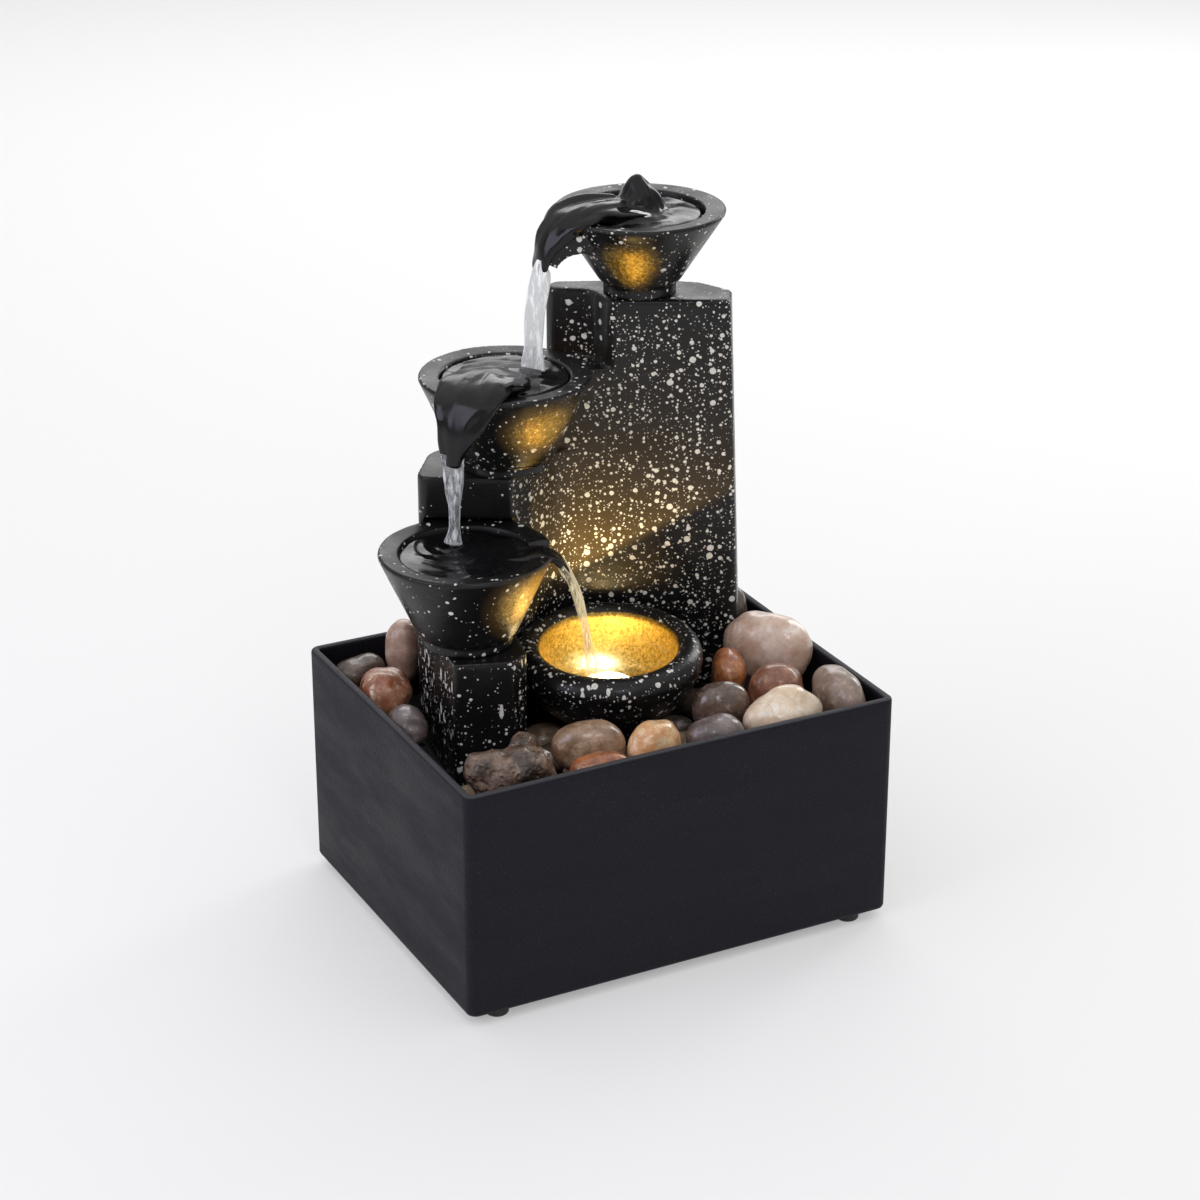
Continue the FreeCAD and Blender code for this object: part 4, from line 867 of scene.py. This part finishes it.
def make_water():
    dark = dark_water_material()
    # the white fall carries a little painted light, as emission
    white = clear_water_material("water_white", (0.93, 0.94, 0.95), 0.62, 0.96, 0.16)
    clear = clear_water_material("water_clear", (0.86, 0.88, 0.9), 0.22, 0.85)
    # a lamp-lit copy of the clear water: its yellow tint and emission are the lowest bowl's lamp
    # light, painted
    lamp_lit_painted = clear_water_material("water_lamp_lit_painted", (1.0, 0.86, 0.55), 0.2, 0.75, 0.3)
    still = lit_water_material()

    # the top bowl: pool, heave and the sheet that goes over the pouring lip
    angle = SPOUTS["top"]
    top_pool = thicken(pool("top_pool", "top", 23.4, 2.2, 3.2, 1.3), POOL_DEPTH)
    heave = dome("heave", "top", 11.5, 17.5, (-1.0, -1.0), 4.2)
    swell = dome("swell", "top", 21.0, 7.5, (-7.0, -4.0), 9.1)
    sheet = stream("sheet", radial("top", angle, [(4, 0.5), (16, -1.2), (26, -1.4), (33, 1.2),
                                                  (38.8, 7), (42.0, 14), (43.2, 20)]),
                   (24, 27, 26, 22, 17, 12, 7), (7, 8, 7, 6.5, 6, 5, 3.4), sideways(angle),
                   2.0, 0.3)
    fold = stream("fold", strand("top", [(angle - 14, 10, -2.5), (angle - 14, 22, -3.6),
                                         (angle - 13, 31, -1.5), (angle - 9, 37, 4.5),
                                         (angle - 4, 41, 12), (angle, 43, 19)]),
                  (6, 8, 8, 6, 5, 2), (6, 6, 6, 5, 4, 2), sideways(angle), 5.0, 0.2)
    ridge = stream("ridge", strand("top", [(angle + 17, 8, -2.0), (angle + 17, 20, -2.8),
                                           (angle + 15, 29, -0.8), (angle + 11, 35.5, 5),
                                           (angle + 5, 40.5, 12), (angle, 43, 19)]),
                   (6, 7, 7, 6, 5, 2), (5, 6, 6, 5, 4, 2), sideways(angle), 7.0, 0.2)
    merged("water_top", [top_pool, heave, swell, sheet, fold, ridge], 0.6, 8, dark)
    u1, v1, rim1 = BOWLS["top"]
    a = math.radians(angle)
    lip = (u1 + 42.8 * math.cos(a), v1 + 42.8 * math.sin(a) - 2.4)
    fall = [place(lip[0] + 0.6, lip[1], rim1 - 14), place(lip[0] + 0.2, lip[1], rim1 - 19),
            place(lip[0] - 0.8, lip[1], rim1 - 25),
            place(lip[0] - 1.8, lip[1], rim1 - 36), place(lip[0] - 2.6, lip[1] - 0.5, rim1 - 48),
            place(lip[0] - 3.0, lip[1] - 0.7, rim1 - 58)]
    ribbon = stream("water_fall_1", fall, (3.5, 6.8, 8.6, 8.2, 7.4, 9.5),
                    (2.4, 3.2, 3.2, 3.0, 3, 5), sideways(-90), 3.0, 0.25)
    finish_water(ribbon, white)
    # a painted highlight: a white arc at the foot of the heave
    crescent = [place(u1 - 1 + 12.4 * math.cos(math.radians(t)),
                      v1 - 1 + 12.4 * math.sin(math.radians(t)), rim1 + 0.2)
                for t in (222, 240, 258, 276, 294)]
    painted_highlight_arc = stream("water_painted_highlight", crescent, (0.8, 3.4, 4.2, 3.4, 0.8), (0.8, 1.8, 2.2, 1.8, 0.8),
                  Vector((0, 0, 1)), 5.0, 0.5)
    finish_water(painted_highlight_arc, white)

    # the second bowl
    angle = SPOUTS["second"]
    second_pool = thicken(pool("second_pool", "second", 24.0, 1.0, 3.4, 6.3, 0.3, (10.0, 9.0)),
                          POOL_DEPTH)
    swell = dome("swell", "second", 24.0, 7.4, (-3.0, -3.0), 2.4)
    sheet = stream("sheet", radial("second", angle, [(2, 0.5), (15, -1.4), (25, -0.8),
                                                     (32.5, 2.2), (36.6, 9), (38, 18),
                                                     (38.3, 25)]),
                   (26, 30, 28, 22, 14, 10, 8), (7, 7, 7, 6.5, 5.5, 4.4, 3.6), sideways(angle),
                   8.0, 0.3)
    side = stream("side", strand("second", [(angle + 21, 14, -2.0), (angle + 20, 25, -1.8),
                                            (angle + 17, 32, 2.0), (angle + 12, 35.5, 9),
                                            (angle + 6, 37.3, 17), (angle, 38, 25)]),
                  (16, 16, 13, 9, 6, 4), (6, 6, 5.5, 5, 4, 3), sideways(angle), 21.0, 0.2)
    merged("water_second", [second_pool, swell, sheet, side], 0.6, 8, dark)
    u2, v2, rim2 = BOWLS["second"]
    a = math.radians(angle)
    lip = (u2 + 37.8 * math.cos(a), v2 + 37.8 * math.sin(a))
    fall = [place(lip[0], lip[1], rim2 - 20), place(lip[0] + 0.3, lip[1], rim2 - 29),
            place(lip[0] + 0.6, lip[1], rim2 - 40), place(lip[0] + 0.4, lip[1], rim2 - 50),
            place(lip[0], lip[1], rim2 - 56)]
    ribbon = stream("water_fall_2", fall, (8.5, 7.5, 4.8, 4.2, 6.5), (3.4, 3, 2.6, 3, 5),
                    sideways(-90), 11.0, 0.3)
    finish_water(ribbon, clear)

    # the third bowl, and its stream into the lit one
    u3, v3, _ = BOWLS["third"]
    third_pool = pool("third_pool", "third", 25.2, 2.2, 1.6, 3.1, 0.9,
                      (lip[0] - u3, lip[1] - v3))
    angle = SPOUTS["third"]
    lead = stream("lead", radial("third", angle, [(8, 3.6), (20, 2.8), (28, 2.6), (33.5, 4.4),
                                                  (37, 9), (39.5, 15)]),
                  (16, 16, 14, 12, 9, 6), (4, 4, 4, 3.6, 3.2, 2.6), sideways(angle), 17.0, 0.3)
    merged("water_third", [thicken(third_pool, POOL_DEPTH), lead], 0.6, 5, dark)
    fall = radial("third", angle, [(35.5, 6.6), (38.8, 12), (42, 21), (44.6, 33), (46.6, 45),
                                   (47.6, 52.5)])
    ribbon = stream("water_fall_3", fall, (14, 12, 9.5, 7.6, 7.2, 10),
                    (3.2, 3.2, 3.2, 3.2, 3.8, 5), sideways(angle), 13.0, 0.35)
    # the fall into the lit bowl, with the lamp light painted on
    finish_water(ribbon, lamp_lit_painted)
    u4, v4, _ = BOWLS["lit"]
    eu, ev = to_tower(fall[-1].x, fall[-1].y)
    lit_pool = pool("water_lit", "lit", 25.9, 5.0, 1.3, 8.8, 1.0, (eu - u4, ev - v4))
    u, v = tower_space(lit_pool.data)[:2]
    # where the painted spot of lamp light lies on the water
    mark(lit_pool.data, "painted_hot_spot", np.exp(-(np.hypot(u - u4 + 4.0, v - v4 + 6.0) / 9.0) ** 2))
    finish_water(lit_pool, still)


# ---- pebbles --------------------------------------------------------------------------
STONES = {
    # name: squareness, lumps (mm), fine roughness (mm), material key
    "rough_rock": (2.2, 5.0, 0.22, "rock"),
    "rough_chip": (2.3, 3.2, 0.2, "rock"),
    "tan_polished": (2.3, 0.9, 0.03, "tan"),
    "orange": (2.4, 0.9, 0.03, "orange"),
    "cream": (2.2, 2.0, 0.05, "cream"),
    "mauve": (2.3, 1.0, 0.04, "mauve"),
    "white_oblong": (4.2, 0.8, 0.03, "white"),
    "corner_grey": (2.3, 1.2, 0.04, "grey"),
    "shiny_brown": (2.2, 0.8, 0.02, "brown"),
    "orange_brown": (2.3, 1.3, 0.05, "orange"),
    "red_brown": (2.4, 1.6, 0.06, "red"),
    "large_white": (2.5, 1.4, 0.04, "pale"),
    "back_dark": (2.3, 1.2, 0.04, "dark"),
    "left_red": (2.3, 1.8, 0.08, "mottled"),
    "left_flat": (2.3, 1.3, 0.06, "dark"),
    "left_tan": (2.4, 1.0, 0.04, "blush"),
    "rear_grey": (2.3, 1.1, 0.04, "grey"),
    "rear_tan": (2.3, 1.0, 0.04, "tan"),
    "front_small": (2.3, 0.7, 0.03, "brown"),
    "left_small": (2.3, 0.9, 0.03, "mauve"),
}


def stone_materials():
    return {
        "rock": stone_material("stone_rock", (0.04, 0.022, 0.015), (0.19, 0.115, 0.078),
                               (0.34, 0.22, 0.15), 9.0, 0.4, pits=0.4, speck=0.2),
        "tan": stone_material("stone_tan", (0.16, 0.085, 0.045), (0.42, 0.27, 0.17),
                              (0.62, 0.45, 0.31), 10.0, 0.34, bands=0.5),
        "orange": stone_material("stone_orange", (0.2, 0.055, 0.02), (0.5, 0.17, 0.055),
                                 (0.66, 0.35, 0.17), 8.0, 0.34),
        "cream": stone_material("stone_cream", (0.6, 0.27, 0.1), (0.86, 0.55, 0.29),
                                (0.93, 0.72, 0.46), 8.0, 0.3, veins=0.4,
                                vein_colour=(0.5, 0.2, 0.07)),
        "mauve": stone_material("stone_mauve", (0.085, 0.06, 0.06), (0.19, 0.145, 0.14),
                                (0.29, 0.235, 0.225), 8.0, 0.4),
        "white": stone_material("stone_white", (0.66, 0.48, 0.33), (0.85, 0.7, 0.54),
                                (0.92, 0.84, 0.72), 11.0, 0.3, veins=0.3,
                                vein_colour=(0.55, 0.36, 0.22), speck=0.08),
        "grey": stone_material("stone_grey", (0.17, 0.115, 0.085), (0.32, 0.235, 0.185),
                               (0.46, 0.36, 0.29), 9.0, 0.42),
        "brown": stone_material("stone_brown", (0.055, 0.035, 0.028), (0.16, 0.1, 0.075),
                                (0.34, 0.24, 0.19), 8.0, 0.2, bands=0.4),
        "red": stone_material("stone_red", (0.13, 0.045, 0.024), (0.33, 0.13, 0.07),
                              (0.5, 0.27, 0.16), 6.5, 0.42),
        "pale": stone_material("stone_pale", (0.5, 0.32, 0.23), (0.8, 0.64, 0.54),
                               (0.92, 0.83, 0.74), 14.0, 0.32, speck=0.1),
        "dark": stone_material("stone_dark", (0.04, 0.026, 0.02), (0.12, 0.08, 0.06),
                               (0.23, 0.165, 0.13), 9.0, 0.45),
        "mottled": stone_material("stone_mottled", (0.24, 0.055, 0.02), (0.45, 0.2, 0.1),
                                  (0.78, 0.6, 0.44), 7.0, 0.36),
        "blush": stone_material("stone_blush", (0.36, 0.21, 0.15), (0.58, 0.4, 0.3),
                                (0.72, 0.56, 0.45), 9.0, 0.4, speck=0.15),
        "fill_light": stone_material("stone_fill_light", (0.14, 0.09, 0.06), (0.33, 0.22, 0.15),
                                     (0.5, 0.37, 0.26), 14.0, 0.42),
        "fill_dark": stone_material("stone_fill_dark", (0.035, 0.025, 0.02), (0.11, 0.075, 0.055),
                                    (0.22, 0.16, 0.12), 14.0, 0.42),
    }


def stone_axes(points):
    """The middle, half sizes and turn of an ellipsoid, from the points of its surface."""
    centre = (points.min(axis=0) + points.max(axis=0)) / 2
    flat = (points - centre)[:, :2]
    hull = flat[np.hypot(flat[:, 0], flat[:, 1]) > 1e-5]
    _, axes = np.linalg.eigh(hull.T @ hull)
    long_axis = axes[:, 1]
    turn = math.atan2(long_axis[1], long_axis[0])
    c, s = math.cos(turn), math.sin(turn)
    along = flat[:, 0] * c + flat[:, 1] * s
    beside = -flat[:, 0] * s + flat[:, 1] * c
    half_z = (points[:, 2].max() - points[:, 2].min()) / 2
    return centre, np.array([np.abs(along).max(), np.abs(beside).max(), half_z]), turn


def add_stone(bm, centre, half, turn, square, lumps, fine, seed, level):
    """Adds a lumpy superellipsoid to bm; fine is its fine roughness, in mm."""
    ball = bmesh.new()
    bmesh.ops.create_icosphere(ball, subdivisions=level, radius=1.0)
    c, s = math.cos(turn), math.sin(turn)
    shift = Vector((seed * 3.7, seed * 1.9, -seed * 2.3))
    for vert in ball.verts:
        d = vert.co.normalized()
        reach = (abs(d.x) ** square + abs(d.y) ** square + abs(d.z) ** square) ** (-1 / square)
        p = Vector((d.x * half[0], d.y * half[1], d.z * half[2])) * reach
        q = p / MM
        out = lumps * (noise.noise(q * 0.07 + shift) + 0.45 * noise.noise(q * 0.16 + shift))
        if fine:
            out += fine * (noise.noise(q * 0.45 + shift) + 0.7 * noise.noise(q * 1.0 + shift))
        trim = 1.0 / (1.0 + 0.35 * (reach - 1.0) / 0.2) if square > 2.5 else 1.0
        p = p * trim + d * ((out - 0.35 * lumps) * MM)
        vert.co = Vector((centre[0] + p.x * c - p.y * s, centre[1] + p.x * s + p.y * c,
                          centre[2] + p.z))
    mesh = bpy.data.meshes.new("stone")
    ball.to_mesh(mesh)
    ball.free()
    bm.from_mesh(mesh)
    bpy.data.meshes.remove(mesh)


def islands(mesh):
    """The separate stones of a node that holds several, as arrays of points."""
    bm = bmesh.new()
    bm.from_mesh(mesh)
    bmesh.ops.remove_doubles(bm, verts=bm.verts, dist=1e-6)
    seen = set()
    result = []
    for start in bm.verts:
        if start in seen:
            continue
        seen.add(start)
        stack, group = [start], []
        while stack:
            vert = stack.pop()
            group.append(vert.co[:])
            for edge in vert.link_edges:
                other = edge.other_vert(vert)
                if other not in seen:
                    seen.add(other)
                    stack.append(other)
        result.append(np.array(group))
    bm.free()
    return result


def make_pebbles():
    materials = stone_materials()
    record = {part["node"]: part["material_slot"] for part in frame["record"]["subparts"]}
    for index, (name, (square, lumps, fine, key)) in enumerate(STONES.items()):
        node = "pebble_" + name
        centre, half, turn = stone_axes(coordinates(NODES[node].data))
        bm = bmesh.new()
        level = 6 if name in ("rough_rock", "rough_chip") else 5
        add_stone(bm, centre, half, turn, square, lumps, fine, index + 1.0, level)
        obj = from_bmesh("stone_" + name, bm)
        smooth_shade(obj)
        finish_piece(obj, materials[key], "tray", record[node], node)
    for shade in ("light", "dark"):
        node = "pebbles_fill_" + shade
        bm = bmesh.new()
        for index, points in enumerate(islands(NODES[node].data)):
            centre, half, turn = stone_axes(points)
            add_stone(bm, centre, half, turn, 2.3, 0.9, 0.04, index + 31.0, 4)
        obj = from_bmesh("stones_fill_" + shade, bm)
        smooth_shade(obj)
        finish_piece(obj, materials["fill_" + shade], "tray", record[node], node)


# ---- what stays as the frame has it ----------------------------------------------------
def paint_frame():
    """Materials for the CAD nodes that show as they are, by the record's slots."""
    lens = Nodes("lens")
    lens.set(Base_Color=lens.mix(lens.noise(4.0), (1.0, 0.9, 0.65, 1), (1.0, 0.95, 0.8, 1)),
             Roughness=0.15, Alpha=0.85, Emission_Color=(1.0, 0.83, 0.45, 1),
             Emission_Strength=14.0)
    table = {
        "foot_rubber": plain_material("foot_rubber", (0.02, 0.02, 0.021), 0.7, depth=0.05),
        "tray_plastic": plain_material("tray_plastic", (0.022, 0.022, 0.023), 0.5, depth=0.05),
        "tube_vinyl": plain_material("tube_vinyl", (0.72, 0.75, 0.76), 0.2, spread=0.06,
                                     Alpha=0.5),
        "silicone": plain_material("silicone", (0.74, 0.74, 0.72), 0.5, spread=0.06),
        "led_plastic": plain_material("led_plastic", (0.03, 0.03, 0.031), 0.35),
        "board": plain_material("board", (0.82, 0.82, 0.78), 0.45, spread=0.08),
        "lens": lens.mat,
        "lead_vinyl": plain_material("lead_vinyl", (0.02, 0.02, 0.021), 0.42),
        "pump_plastic": plain_material("pump_plastic", (0.028, 0.028, 0.031), 0.36, depth=0.04),
        "potting": plain_material("potting", (0.05, 0.05, 0.052), 0.3),
        "steel": plain_material("steel", (0.52, 0.52, 0.53), 0.38, 1.0, grain=0.35),
        "copper": plain_material("copper", (0.62, 0.26, 0.12), 0.3, 1.0, grain=0.4, depth=0.1),
        "shaft_ceramic": plain_material("shaft_ceramic", (0.88, 0.88, 0.86), 0.15, spread=0.03),
        "ferrite": plain_material("ferrite", (0.07, 0.07, 0.075), 0.45),
        "impeller_plastic": plain_material("impeller_plastic", (0.76, 0.76, 0.73), 0.35,
                                           spread=0.08),
        "slider_plastic": plain_material("slider_plastic", (0.11, 0.11, 0.12), 0.4),
    }
    for part in frame["record"]["subparts"]:
        material = table.get(part["material_slot"])
        if material is None:
            continue
        slots = NODES[part["node"]].data.materials
        if not slots:
            slots.append(material)
        for i in range(len(slots)):
            slots[i] = material


# ---- build -----------------------------------------------------------------------------
make_camera()
make_stage()
paint_frame()
make_basin(basin_material())
resin = resin_material("resin_speckled")
make_tower(resin)
# the number before each bowl's material is the strength of the lamp light painted onto its gold
# leaf
make_bowl("top", "bowl_top", 262.0, 17.0, (34.0, 13.0), 0.0, resin)
make_bowl("second", "bowl_second", 305.0, 15.0, (34.0, 12.0), 0.8, resin)
make_bowl("third", "bowl_third", 327.0, 13.0, (36.0, 15.0), 0.6, resin)
make_lit_bowl(resin)
make_water()
make_pebbles()
lamp_u, lamp_v, lamp_rim = BOWLS["lit"]
warm_light("led_spot", lamp_u - 3, lamp_v - 2, lamp_rim - 12, 0.018, 3.0)
